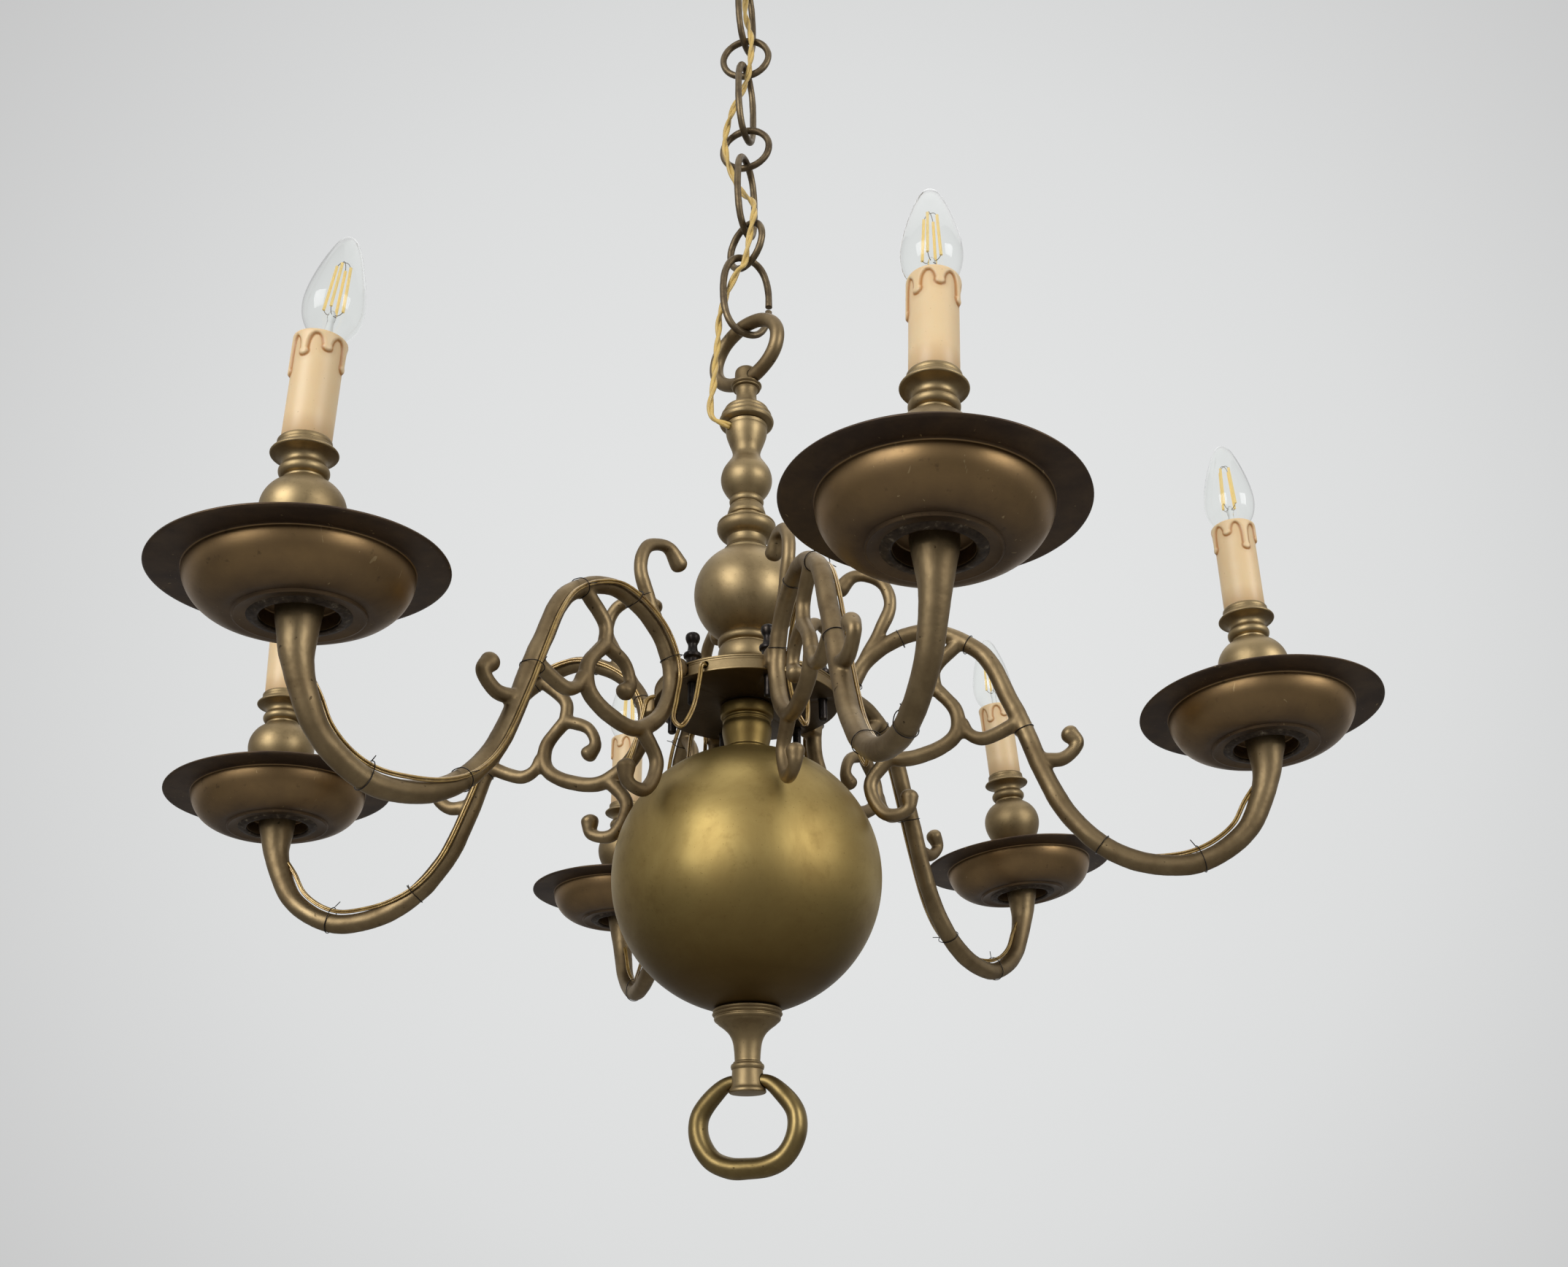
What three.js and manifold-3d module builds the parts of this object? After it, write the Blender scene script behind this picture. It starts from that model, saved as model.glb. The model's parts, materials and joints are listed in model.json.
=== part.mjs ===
// Six-arm ball chandelier hung on a chain, in millimetres, +Z up, with the ceiling at z = 0.
// The names of the sizes say what each one measures. Angles are in degrees.
import * as THREE from 'three';
import { mergeVertices } from 'three/addons/utils/BufferGeometryUtils.js';
import Module from 'manifold-3d';

const wasm = await Module();
wasm.setup();

// Fits
const touchGap = 0.3;
const wireGap = 0.75;
const shaftGap = 0.35;
const slotGap = 0.4;

// Facets round each kind of piece
const wireSides = 5;
const armSides = 6;
const armSteps = 25;
const branchSides = 5;
const turnedSides = 12;
const ballSides = 18;
const panSides = 13;
const lampSides = 8;
const pinSides = 6;
const plateSides = 18;

// Ceiling rose and its hook
const roseRadius = 52;
const roseHeight = 38;
const roseWall = 2;
const rosePlate = 3;
const roseMouth = 12;
const hookWire = 3;
const hookRadius = 9.5;
const hookDrop = 63.25;
const hookTurn = -15;

// Chain of long links and rings, from the ceiling down
const chainWire = 2.5;
const longHalfHeight = 36.5;
const longHalfWidth = 20;
const longSquareness = 2.4;
const ringRadius = 19.5;
const linkGap = 3;
const chain = [
  { name: 'chain_link_7', long: true, turn: 72 },
  { name: 'chain_link_6', long: false, turn: -12 },
  { name: 'chain_link_5', long: true, turn: 72 },
  { name: 'chain_link_4', long: false, turn: -15 },
  { name: 'chain_link_3', long: true, turn: 70, gapAt: -15.3 },
  { name: 'chain_link_2', long: false, turn: -50 },
  { name: 'chain_link_1', long: true, turn: 25, gapAt: -6.6 },
];

// Suspension ring
const suspensionWire = 4.75;
const suspensionHalfWidth = 33;
const suspensionHalfHeight = 26;
const suspensionTurn = -45;

// Top finial on the iron tie rod
const lugRadius = 8.8;
const lugAboveHole = 10.5;
const lugHole = 6.1;
const lugRingRadius = 11.5;
const finialNeckRadius = 7.9;
const finialNeckLength = 13.6;
const collarRadius = 18.9;
const collarHeight = 14.5;
const collarBelowHole = 42;
const rodRadius = 3;

// Turned stem pieces
const stemBore = 8.2;
const vaseRadius = 15.9;
const waistRadius = 10.5;
const smallBallRadius = 19.3;
const upperRingRadius = 12.4;
const lowerRingRadius = 14.2;
const dripDiscRadius = 21.9;
const balusterFoot = 17.5;
const balusterHeight = 110.2;
const cordHoleDrop = 5.2;
const cordHoleTurn = -57;
const upperBallRadius = 38.3;
const upperBallWall = 3;
const upperBallHeight = 113.1;
const upperBallDrop = 36.1;
const neckRingRadius = 20.5;
const neckWaist = 17.4;

// Drum that holds the arms
const plateRadius = 65.5;
const plateHeight = 11;
const plateWall = 2;
const plateRim = 3;

// Main ball and its neck
const ballRadius = 91.3;
const ballWall = 2.2;
const ballDrop = 127.3;
const ballCollarRadius = 18.6;
const ballCollarHeight = 9;
const ballNeckRadius = 15.7;
const ballNeckSeat = 15;

// Bottom finial and pull ring
const flangeRadius = 22.6;
const flangeHeight = 6;
const trumpetLength = 28;
const finialWaist = 8.1;
const finialBead = 10.5;
const pullLugRadius = 11.3;
const pullLugHeight = 14.5;
const threadDepth = 28;
const pullRingHalfWidth = 33;
const pullRingHeight = 54;
const pullRingWire = 5.9;
const pullRingPin = 4.2;
const pullRingTurn = -15;

// Arms: their directions as the slots are filed, and the sizes of the casting
const armTurns = { a: -43.3, b: 15.5, c: 77.7, d: 138, e: 198.4, f: -102.5 };
const lampCircle = 350;
const lampDrop = 58.8;
const armMouth = 12.5;
const armTube = 5.9;
const armInnerTube = 5.3;
const scrollTube = 4.5;
const branchTube = 4;
const blobRadius = 4.4;
const tongueWidth = 12;
const tongueReach = 17.5;
const pinReach = 11;
const pinShaft = 3;
const pinBelowPlate = 14.5;
const pinShoulder = 4.6;
const pinRing = 5.45;
const pinKnob = 4.35;
const pinAbovePlate = 23;
const nippleRadius = 5;
const nippleLength = 110;

// Lamps: drip pan, candle cup, sleeve, lampholder and bulb
const panRadius = 79.4;
const panRimWidth = 19;
const panDepth = 27;
const panRimLip = 1.8;
const panWall = 1.9;
const panFlat = 34;
const recessRadius = 21;
const recessDepth = 9;
const beadWidth = 6;
const beadHeight = 1.4;
const cupHeight = 97.7;
const cupFoot = 15;
const cupNeck = 9.6;
const cupBall = 23.4;
const cupBallDrop = 34.4;
const cupRing = 13.7;
const cupWaist = 11.6;
const cupFlange = 18.2;
const cupFlangeDrop = 8.3;
const seatDepth = 6.6;
const seatWall = 1;
const sleeveRadius = 13.7;
const sleeveWall = 1.4;
const sleeveHeight = 71;
const socketRadius = 11.4;
const socketHeight = 66;
const socketFloor = 3;
const bulbBaseRadius = 6.8;
const bulbBaseHeight = 26;
const bulbRadius = 17.5;
const bulbHeight = 99.4;

// Wiring
const cordRadius = 2.8;
const cordRoute = [
  [5.5, -6, -38.5],
  [2, -11.5, -66],
  [-0.5, -5.5, -94],
  [4.5, -9, -128.5],
  [4.5, -8, -147],
  [0.5, -8, -177.5],
  [-10.5, -6.5, -206.5],
  [-17, -5.5, -235],
  [-17, -5, -250.5],
  [-9, -4, -282.5],
  [-2, -5, -296],
  [4, -9.5, -306],
  [7, -13.5, -317.5],
  [5.5, -15.5, -330.5],
  [2, -13.5, -352],
  [-2, -9, -371],
  [-6.5, -8, -376.5],
  [-15, -3, -395],
  [-21, -1, -416],
  [-22, -1.5, -437],
  [-24, -3.5, -463],
  [-25, -9, -485],
  [-27.5, -11, -509],
  [-25, -12, -519],
];
const leadRadius = 2;
const flexRadius = 1.8;
const flexHoleTurn = 17.5;
const spliceRadius = 15;
const flexLoopDrop = 50;

// Brass and its neighbours
const brass = () => new THREE.MeshStandardMaterial({ color: 0x7d6a45, roughness: 0.42, metalness: 0.9 });
const darkBrass = () => new THREE.MeshStandardMaterial({ color: 0x5a4c36, roughness: 0.5, metalness: 0.85 });
const iron = () => new THREE.MeshStandardMaterial({ color: 0x5b4c3a, roughness: 0.6, metalness: 0.75 });
const pinMetal = () => new THREE.MeshStandardMaterial({ color: 0x2f2a26, roughness: 0.45, metalness: 0.8 });
const wax = () => new THREE.MeshStandardMaterial({ color: 0xe3c398, roughness: 0.55, metalness: 0 });
const porcelain = () => new THREE.MeshStandardMaterial({ color: 0xe6e2d8, roughness: 0.4, metalness: 0 });
const gold = () => new THREE.MeshStandardMaterial({ color: 0xc9a04c, roughness: 0.7, metalness: 0 });
const clearFlex = () => new THREE.MeshStandardMaterial({ color: 0xb9924e, roughness: 0.3, metalness: 0.2 });
const glass = () => new THREE.MeshStandardMaterial({ color: 0xf2f4f2, roughness: 0.05, metalness: 0 });

// A path that passes through its stations in equal shares, so that two tubes can share theirs
class Stations extends THREE.Curve {
  constructor(points) {
    super();
    this.points = points;
  }
  getPoint(t, target = new THREE.Vector3()) {
    const at = THREE.MathUtils.clamp(t, 0, 1) * (this.points.length - 1);
    const first = Math.min(Math.floor(at), this.points.length - 2);
    return target.lerpVectors(this.points[first], this.points[first + 1], at - first);
  }
  getPointAt(u, target) {
    return this.getPoint(u, target);
  }
  getTangentAt(u, target = new THREE.Vector3()) {
    const last = this.points.length - 1;
    const at = Math.round(u * last);
    const closed = this.points[0] === this.points[last];
    const before = this.points[at > 0 ? at - 1 : (closed ? last - 1 : 0)];
    const after = this.points[at < last ? at + 1 : (closed ? 1 : last)];
    const arriving = this.points[at].clone().sub(before).normalize();
    return target.subVectors(after, this.points[at]).normalize().add(arriving).normalize();
  }
}

// An upright oval line in the XZ plane, an ellipse at squareness 2
class Oval extends THREE.Curve {
  constructor(halfWidth, halfHeight, squareness = 2) {
    super();
    Object.assign(this, { halfWidth, halfHeight, squareness });
  }
  getPoint(t, target = new THREE.Vector3()) {
    const angle = 2 * Math.PI * t;
    const bend = (value) => Math.sign(value) * Math.abs(value) ** (2 / this.squareness);
    return target.set(this.halfWidth * bend(Math.cos(angle)), 0, this.halfHeight * bend(Math.sin(angle)));
  }
}

// A closed geometry as a solid whose faces look outwards
function solid(geometry) {
  const bare = geometry.clone();
  bare.deleteAttribute('normal');
  bare.deleteAttribute('uv');
  const merged = mergeVertices(bare, 1e-4);
  const at = merged.attributes.position;
  const corners = [0, 1, 2].map(() => new THREE.Vector3());
  const triangles = [];
  let volume = 0;
  for (let i = 0; i < merged.index.count; i += 3) {
    const face = [0, 1, 2].map((k) => merged.index.getX(i + k));
    if (new Set(face).size === 3) {
      face.forEach((vertex, k) => corners[k].fromBufferAttribute(at, vertex));
      volume += corners[0].dot(corners[1].cross(corners[2]));
      triangles.push(...face);
    }
  }
  if (volume < 0) {
    triangles.reverse();
  }
  return new wasm.Manifold(new wasm.Mesh({
    numProp: 3,
    vertProperties: Float32Array.from(at.array),
    triVerts: Uint32Array.from(triangles),
  }));
}

// A solid back as a geometry
function geometryOf(body) {
  const mesh = body.getMesh();
  const geometry = new THREE.BufferGeometry();
  geometry.setAttribute('position', new THREE.BufferAttribute(mesh.vertProperties, 3));
  geometry.setIndex(new THREE.BufferAttribute(mesh.triVerts, 1));
  geometry.computeVertexNormals();
  return geometry;
}

const join = (bodies) => bodies.reduce((whole, body) => whole.add(body));
const cut = (body, tools) => tools.reduce((rest, tool) => rest.subtract(tool), body);

// An outline of [radius, height] pairs turned about Z; a ring's outline closes on itself
function turned(outline, sides) {
  const points = outline.map(([radius, height]) => new THREE.Vector2(radius, height));
  return solid(new THREE.LatheGeometry(points, sides).rotateX(Math.PI / 2));
}
const turnedRing = (outline, sides) => turned([...outline, outline[0]], sides);

// Outline points along an arc about [radius, height]
function arc(radius, height, size, from, to, steps) {
  return Array.from({ length: steps + 1 }, (_, i) => {
    const angle = THREE.MathUtils.degToRad(from + (to - from) * i / steps);
    return [radius + size * Math.cos(angle), height + size * Math.sin(angle)];
  });
}

// A tube through its stations with a radius at each, open ended or as a closed loop
function tube(points, radii, sides, closed = false) {
  const path = new Stations(closed ? [...points, points[0]] : points);
  const section = new THREE.Shape(Array.from({ length: sides }, (_, i) => {
    const angle = 2 * Math.PI * i / sides;
    return new THREE.Vector2(Math.cos(angle), Math.sin(angle));
  }));
  const geometry = new THREE.ExtrudeGeometry(section, { steps: path.points.length - 1, extrudePath: path });
  const at = geometry.attributes.position;
  const vertex = new THREE.Vector3();
  for (let i = 0; i < at.count; i += 1) {
    vertex.fromBufferAttribute(at, i);
    const away = points.map((point) => point.distanceToSquared(vertex));
    const nearest = away.indexOf(Math.min(...away));
    const radius = Array.isArray(radii) ? radii[nearest] : radii;
    vertex.sub(points[nearest]).multiplyScalar(radius).add(points[nearest]);
    at.setXYZ(i, vertex.x, vertex.y, vertex.z);
  }
  if (closed) {
    const walls = geometry.groups[1];
    const kept = at.array.slice(3 * walls.start, 3 * (walls.start + walls.count));
    const loop = new THREE.BufferGeometry();
    loop.setAttribute('position', new THREE.BufferAttribute(kept, 3));
    return solid(loop);
  }
  return solid(geometry);
}

// Stations on a smooth line through control points, with the radius carried along between them
function smooth(controls, count) {
  const line = new THREE.CatmullRomCurve3(controls.map(([x, z]) => new THREE.Vector3(x, 0, z)));
  const at = Array.from({ length: count + 1 }, (_, i) => i / count);
  const radii = at.map((t) => {
    const place = t * (controls.length - 1);
    const first = Math.min(Math.floor(place), controls.length - 2);
    return THREE.MathUtils.lerp(controls[first][2], controls[first + 1][2], place - first);
  });
  return { points: at.map((t) => line.getPoint(t)), tangents: at.map((t) => line.getTangent(t)), radii };
}

// A straight round bar or hole between two points
function bar(from, to, radius, sides) {
  return tube([new THREE.Vector3(...from), new THREE.Vector3(...to)], radius, sides);
}

// A hole's corner radius when its flats must clear a round shaft
const clearing = (radius, gap, sides) => (radius + gap) / Math.cos(Math.PI / sides);
const heading = (degrees) => {
  const angle = THREE.MathUtils.degToRad(degrees);
  return new THREE.Vector3(Math.cos(angle), Math.sin(angle), 0);
};
const fromFront = (degrees, radius, height) => heading(degrees - 90).multiplyScalar(radius).setZ(height);

const chandelier = new THREE.Group();
chandelier.name = 'chandelier';
function add(name, body, material, turn = 0, height = 0) {
  const mesh = new THREE.Mesh(geometryOf(body), material);
  mesh.name = name;
  mesh.rotation.z = THREE.MathUtils.degToRad(turn);
  mesh.position.z = height;
  chandelier.add(mesh);
}

// Ceiling rose: back plate, spun cup and the hook through its mouth
const roseCup = turned([
  [0, 0],
  [roseRadius, 0],
  [roseRadius, -rosePlate],
  ...arc(roseMouth, -rosePlate, 1, 0, -90, 3).map(([x, z]) => [
    roseMouth + (x - roseMouth) * (roseRadius - roseMouth),
    -rosePlate + (z + rosePlate) * (roseHeight - rosePlate),
  ]).slice(1),
  ...arc(roseMouth, -rosePlate, 1, -90, 0, 3).map(([x, z]) => [
    roseMouth + (x - roseMouth) * (roseRadius - roseWall - roseMouth),
    -rosePlate + (z + rosePlate) * (roseHeight - rosePlate - roseWall),
  ]),
  [0, -rosePlate],
], panSides);
const hookCentre = hookRadius - hookDrop;
const hookLine = [[0, -1], [0, hookCentre + 1.5 * hookRadius], ...arc(0, hookCentre, hookRadius, 60, -210, 9)]
  .map(([x, z]) => new THREE.Vector3(x, 0, z));
const hook = tube(hookLine, hookWire, wireSides).rotate([0, 0, hookTurn]);
add('ceiling_rose', roseCup.add(hook), brass());

// A wire bent to a closed oval; a count of steps that 4 divides puts stations at its top and bottom
function ovalWire(oval, steps, radius, sides) {
  return tube(oval.getSpacedPoints(steps).slice(1), radius, sides, true);
}

// Chain: each link hangs on the lowest point of the wire above it, and two long links have open joints
let hangingWire = hookWire;
let level = -hookDrop;
for (const link of chain) {
  const halfHeight = link.long ? longHalfHeight : ringRadius;
  const centre = level + hangingWire + chainWire + wireGap - halfHeight;
  const loop = link.long
    ? ovalWire(new Oval(longHalfWidth, longHalfHeight, longSquareness), 20, chainWire, wireSides)
    : ovalWire(new Oval(ringRadius, ringRadius), 12, chainWire, wireSides);
  const joints = link.gapAt === undefined ? [] : [
    solid(new THREE.BoxGeometry(longHalfWidth, 3 * chainWire, linkGap))
      .translate([longHalfWidth, 0, link.gapAt]),
  ];
  add(link.name, cut(loop, joints), iron(), link.turn, centre);
  level = centre - halfHeight;
  hangingWire = chainWire;
}

// Suspension ring through the lug of the top finial
const suspensionCentre = level + chainWire + suspensionWire + wireGap - suspensionHalfHeight;
const suspensionOval = new Oval(suspensionHalfWidth, suspensionHalfHeight);
const suspensionLoop = ovalWire(suspensionOval, 20, suspensionWire, armSides);
add('suspension_ring', suspensionLoop, darkBrass(), suspensionTurn, suspensionCentre);

// Heights of the seats down the stem
const lugHeight = suspensionCentre - suspensionHalfHeight;
const collarSeat = lugHeight - collarBelowHole;
const balusterTop = collarSeat - touchGap;
const balusterEnd = balusterTop - balusterHeight;
const upperBallTop = balusterEnd - touchGap;
const upperBallEnd = upperBallTop - upperBallHeight;
const plateTop = upperBallEnd - touchGap;
const plateUnder = plateTop - plateHeight;
const plateMiddle = plateTop - plateHeight / 2;
const ballCentre = plateUnder - ballDrop;
const finialTop = ballCentre - ballRadius - touchGap;
const threadEnd = finialTop - threadDepth;
const pullLugTop = finialTop - flangeHeight - trumpetLength - 3;
const pullLugEnd = pullLugTop - pullLugHeight;

// Top finial with its cross hole, neck and stepped collar, on the tie rod
const neckTop = lugHeight - 8.4;
const collarTop = collarSeat + collarHeight;
const collarStep = collarHeight / 3;
const collarLedge = (collarRadius - finialNeckRadius) / 4;
const topFinial = turned([
  [0, lugHeight + lugAboveHole],
  [0.62 * lugRadius, lugHeight + lugAboveHole - 0.8],
  [lugRadius, lugHeight + lugAboveHole - 4.5],
  [lugRadius, lugHeight - 4.4],
  [lugRingRadius, lugHeight - 6.3],
  [finialNeckRadius, neckTop],
  [finialNeckRadius, neckTop - finialNeckLength],
  [finialNeckRadius + 2 * collarLedge, collarTop - 0.5],
  [finialNeckRadius + 2 * collarLedge, collarTop - collarStep],
  [collarRadius - collarLedge, collarTop - collarStep - 0.5],
  [collarRadius - collarLedge, collarTop - 2 * collarStep],
  [collarRadius, collarTop - 2 * collarStep - 0.5],
  [collarRadius, collarSeat],
  [rodRadius, collarSeat],
  [rodRadius, threadEnd + 1],
  [0, threadEnd + 1],
], turnedSides);
const lugAxis = heading(suspensionTurn).multiplyScalar(2 * lugRadius);
const lugCut = bar([-lugAxis.x, -lugAxis.y, lugHeight], [lugAxis.x, lugAxis.y, lugHeight], lugHole, 10);
add('stem_rod', topFinial.subtract(lugCut), brass());

// Upper baluster: vase, waist, small ball, two rings and the drip disc, with the cord's hole
const down = (radius, drop) => [radius, balusterTop - drop];
const balusterBody = turnedRing([
  down(stemBore, 0),
  down(vaseRadius, 0),
  down(vaseRadius - 0.5, 9),
  down(waistRadius, 23.5),
  down(smallBallRadius - 5.8, 32.5),
  down(smallBallRadius, 46),
  down(smallBallRadius - 0.6, 53),
  down(upperRingRadius - 0.8, 67),
  down(upperRingRadius, 70.5),
  down(upperRingRadius - 0.8, 74),
  down(lowerRingRadius, 79.4),
  down(lowerRingRadius - 1.6, 84.5),
  down(dripDiscRadius - 2, 88.5),
  down(dripDiscRadius, 93.4),
  down(dripDiscRadius - 3, 98),
  down(balusterFoot - 2.3, 100.5),
  down(balusterFoot, balusterHeight),
  down(stemBore, balusterHeight),
], turnedSides);
const cordHoleHeight = balusterTop - cordHoleDrop;
const cordHole = bar(
  fromFront(cordHoleTurn, stemBore - 3, cordHoleHeight).toArray(),
  fromFront(cordHoleTurn, vaseRadius + 3, cordHoleHeight).toArray(),
  clearing(cordRadius, shaftGap, 8),
  8,
);
add('upper_baluster', balusterBody.subtract(cordHole), brass());

// Upper ball on its ringed neck
const upperBallCentre = upperBallTop - upperBallDrop;
const crown = THREE.MathUtils.radToDeg(Math.acos(balusterFoot / upperBallRadius));
const neckAngle = THREE.MathUtils.radToDeg(Math.acos(neckWaist / upperBallRadius));
const neckHead = upperBallCentre - upperBallRadius * Math.sin(THREE.MathUtils.degToRad(neckAngle));
const neckPitch = (neckHead - upperBallEnd) / 6;
const upperBallBody = turned([
  [0, upperBallTop],
  [balusterFoot, upperBallTop],
  ...arc(0, upperBallCentre, upperBallRadius, crown, -neckAngle, 7),
  [neckRingRadius, neckHead - neckPitch],
  [neckWaist, neckHead - 2 * neckPitch],
  [neckRingRadius, neckHead - 3 * neckPitch],
  [neckWaist, neckHead - 4 * neckPitch],
  [neckRingRadius, neckHead - 5 * neckPitch],
  [neckRingRadius, upperBallEnd],
  [0, upperBallEnd],
], turnedSides + 2);
const upperBallHollow = turned(arc(0, upperBallCentre, upperBallRadius - upperBallWall, 90, -90, 5), 8);
const upperBallBore = bar([0, 0, upperBallTop + 1], [0, 0, upperBallEnd - 1], stemBore, 10);
add('upper_ball', cut(upperBallBody, [upperBallHollow, upperBallBore]), brass());

// Arm plate: a shallow drum with a slot, a wire hole and two pin holes for each arm
const rodHole = clearing(rodRadius, shaftGap, plateSides);
const drum = turnedRing([
  [stemBore, plateTop],
  [plateRadius, plateTop],
  [plateRadius, plateUnder],
  [rodHole, plateUnder],
  [rodHole, plateUnder + plateWall],
  [plateRadius - plateRim, plateUnder + plateWall],
  [plateRadius - plateRim, plateTop - plateWall],
  [stemBore, plateTop - plateWall],
], plateSides);
const slotHeight = plateHeight - 2 * plateWall;
const tongueThick = slotHeight - 2 * slotGap;
const slotBox = solid(new THREE.BoxGeometry(3 * plateRim, tongueWidth + 2 * slotGap, slotHeight))
  .translate([plateRadius - plateRim / 2, 0, plateMiddle]);
const pinHoleAt = plateRadius - pinReach;
const pinHole = bar(
  [pinHoleAt, 0, plateTop + 1],
  [pinHoleAt, 0, plateUnder - 1],
  clearing(pinShaft, shaftGap, pinSides),
  pinSides,
);
const flexHole = bar(
  [plateRadius - 2 * plateRim, 0, plateMiddle],
  [plateRadius + plateRim, 0, plateMiddle],
  clearing(flexRadius, 0.8, 6),
  6,
).rotate([0, 0, flexHoleTurn]);
const drumCuts = Object.values(armTurns).flatMap((turn) => [slotBox, pinHole, flexHole]
  .map((tool) => tool.rotate([0, 0, turn - 90])));
add('arm_plate', cut(drum, drumCuts), brass());

// Main ball: a spun shell on its neck, with the rod's holes at top and bottom
const ballCollarEnd = plateUnder - touchGap - ballCollarHeight;
const ballNeckAngle = THREE.MathUtils.radToDeg(Math.acos(ballNeckSeat / ballRadius));
const ballNeckEnd = ballCentre + ballRadius * Math.sin(THREE.MathUtils.degToRad(ballNeckAngle));
const ballNeck = ballCollarEnd - ballNeckEnd;
const ballBody = turned([
  [0, plateUnder - touchGap],
  [ballCollarRadius, plateUnder - touchGap],
  [ballCollarRadius, ballCollarEnd],
  [ballCollarRadius - 2.4, ballCollarEnd - 0.08 * ballNeck],
  [ballNeckRadius + 1.3, ballCollarEnd - 0.2 * ballNeck],
  [ballNeckRadius, ballCollarEnd - 0.5 * ballNeck],
  [ballNeckSeat - 1.5, ballCollarEnd - 0.8 * ballNeck],
  ...arc(0, ballCentre, ballRadius, ballNeckAngle, -90, 10),
], ballSides);
const ballHollow = turned(arc(0, ballCentre, ballRadius - ballWall, 90, -90, 6), 10);
const ballBore = bar(
  [0, 0, plateUnder + 1],
  [0, 0, ballCentre - ballRadius - 1],
  clearing(rodRadius, shaftGap, 8),
  8,
);
add('main_ball', cut(ballBody, [ballHollow, ballBore]), brass());

// Bottom finial: flange cupped to the ball, trumpet, bead and the pull ring's lug
const flangeTop = ballCentre - Math.sqrt((ballRadius + touchGap) ** 2 - flangeRadius ** 2);
const trumpetTop = finialTop - flangeHeight;
const waistHeight = trumpetTop - trumpetLength;
const finialBody = turned([
  [0, threadEnd],
  [clearing(rodRadius, shaftGap, turnedSides), threadEnd],
  [clearing(rodRadius, shaftGap, turnedSides), finialTop],
  [flangeRadius / 2, ballCentre - Math.sqrt((ballRadius + touchGap) ** 2 - (flangeRadius / 2) ** 2)],
  [flangeRadius, flangeTop],
  [flangeRadius, trumpetTop + 2],
  [flangeRadius - 1.6, trumpetTop],
  [0.58 * flangeRadius, trumpetTop - 0.27 * trumpetLength],
  [finialWaist + 1, trumpetTop - 0.6 * trumpetLength],
  [finialWaist, waistHeight + 2],
  [finialBead, waistHeight - 1.4],
  [finialBead, pullLugTop + 0.4],
  [pullLugRadius, pullLugTop],
  [pullLugRadius, pullLugEnd],
  [0, pullLugEnd],
], turnedSides);
const pullAxis = heading(pullRingTurn).multiplyScalar(2 * pullLugRadius);
const pullHoleHeight = pullLugTop - pullLugHeight / 2;
const pullHole = clearing(pullRingPin, wireGap, 10);
const pullCut = bar(
  [-pullAxis.x, -pullAxis.y, pullHoleHeight],
  [pullAxis.x, pullAxis.y, pullHoleHeight],
  pullHole,
  10,
);
add('bottom_finial', finialBody.subtract(pullCut), brass());

// Pull ring: straight through the lug, then a wide loop that thickens downwards
const pullSide = [
  [pullLugRadius + 1, -0.2, pullRingPin],
  [0.66 * pullRingHalfWidth, -0.13 * pullRingHeight, 0.85 * pullRingWire],
  [0.96 * pullRingHalfWidth, -0.38 * pullRingHeight, 0.95 * pullRingWire],
  [0.96 * pullRingHalfWidth, -0.64 * pullRingHeight, pullRingWire],
  [0.72 * pullRingHalfWidth, -0.88 * pullRingHeight, pullRingWire],
  [0.36 * pullRingHalfWidth, -0.985 * pullRingHeight, pullRingWire],
  [0, -pullRingHeight, pullRingWire],
];
const mirrored = pullSide.slice(0, -1).reverse().map(([x, z, radius]) => [-x, z, radius]);
const pullLine = smooth([...pullSide, ...mirrored, pullSide[0]], 24);
const pullRing = tube(pullLine.points.slice(1), pullLine.radii.slice(1), armSides, true);
add('pull_ring', pullRing, brass(), pullRingTurn, pullHoleHeight);

// One arm in the XZ plane: points are measured from the lamp's axis or from the plate's rim
const armEnd = plateMiddle - lampDrop;
const lamp = (inward, up, radius) => [lampCircle - inward, armEnd + up, radius];
const hub = (outward, up, radius) => [plateRadius + outward, plateMiddle + up, radius];
const armLine = smooth([
  lamp(0, -8, armMouth - 1.2),
  lamp(3, -32, armTube + 1.3),
  lamp(20, -66, armTube + 0.2),
  lamp(54, -85, armTube),
  lamp(98, -77, armTube),
  hub(152.5, -103.8, armTube - 0.1),
  hub(120.5, -20.8, armInnerTube + 0.2),
  hub(101.5, 20.2, armInnerTube + 0.1),
  hub(61.5, 40.2, armInnerTube),
  hub(22.5, 23.2, armInnerTube),
  hub(8.5, -6.8, armInnerTube),
  hub(16.5, -35.8, armInnerTube - 0.1),
  hub(38.5, -53.8, scrollTube + 0.5),
  hub(62.5, -51.8, scrollTube + 0.3),
  hub(80.5, -40.8, scrollTube + 0.2),
  hub(82.5, -23.8, scrollTube),
  hub(68.5, -3.8, scrollTube - 0.2),
], armSteps);
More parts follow.
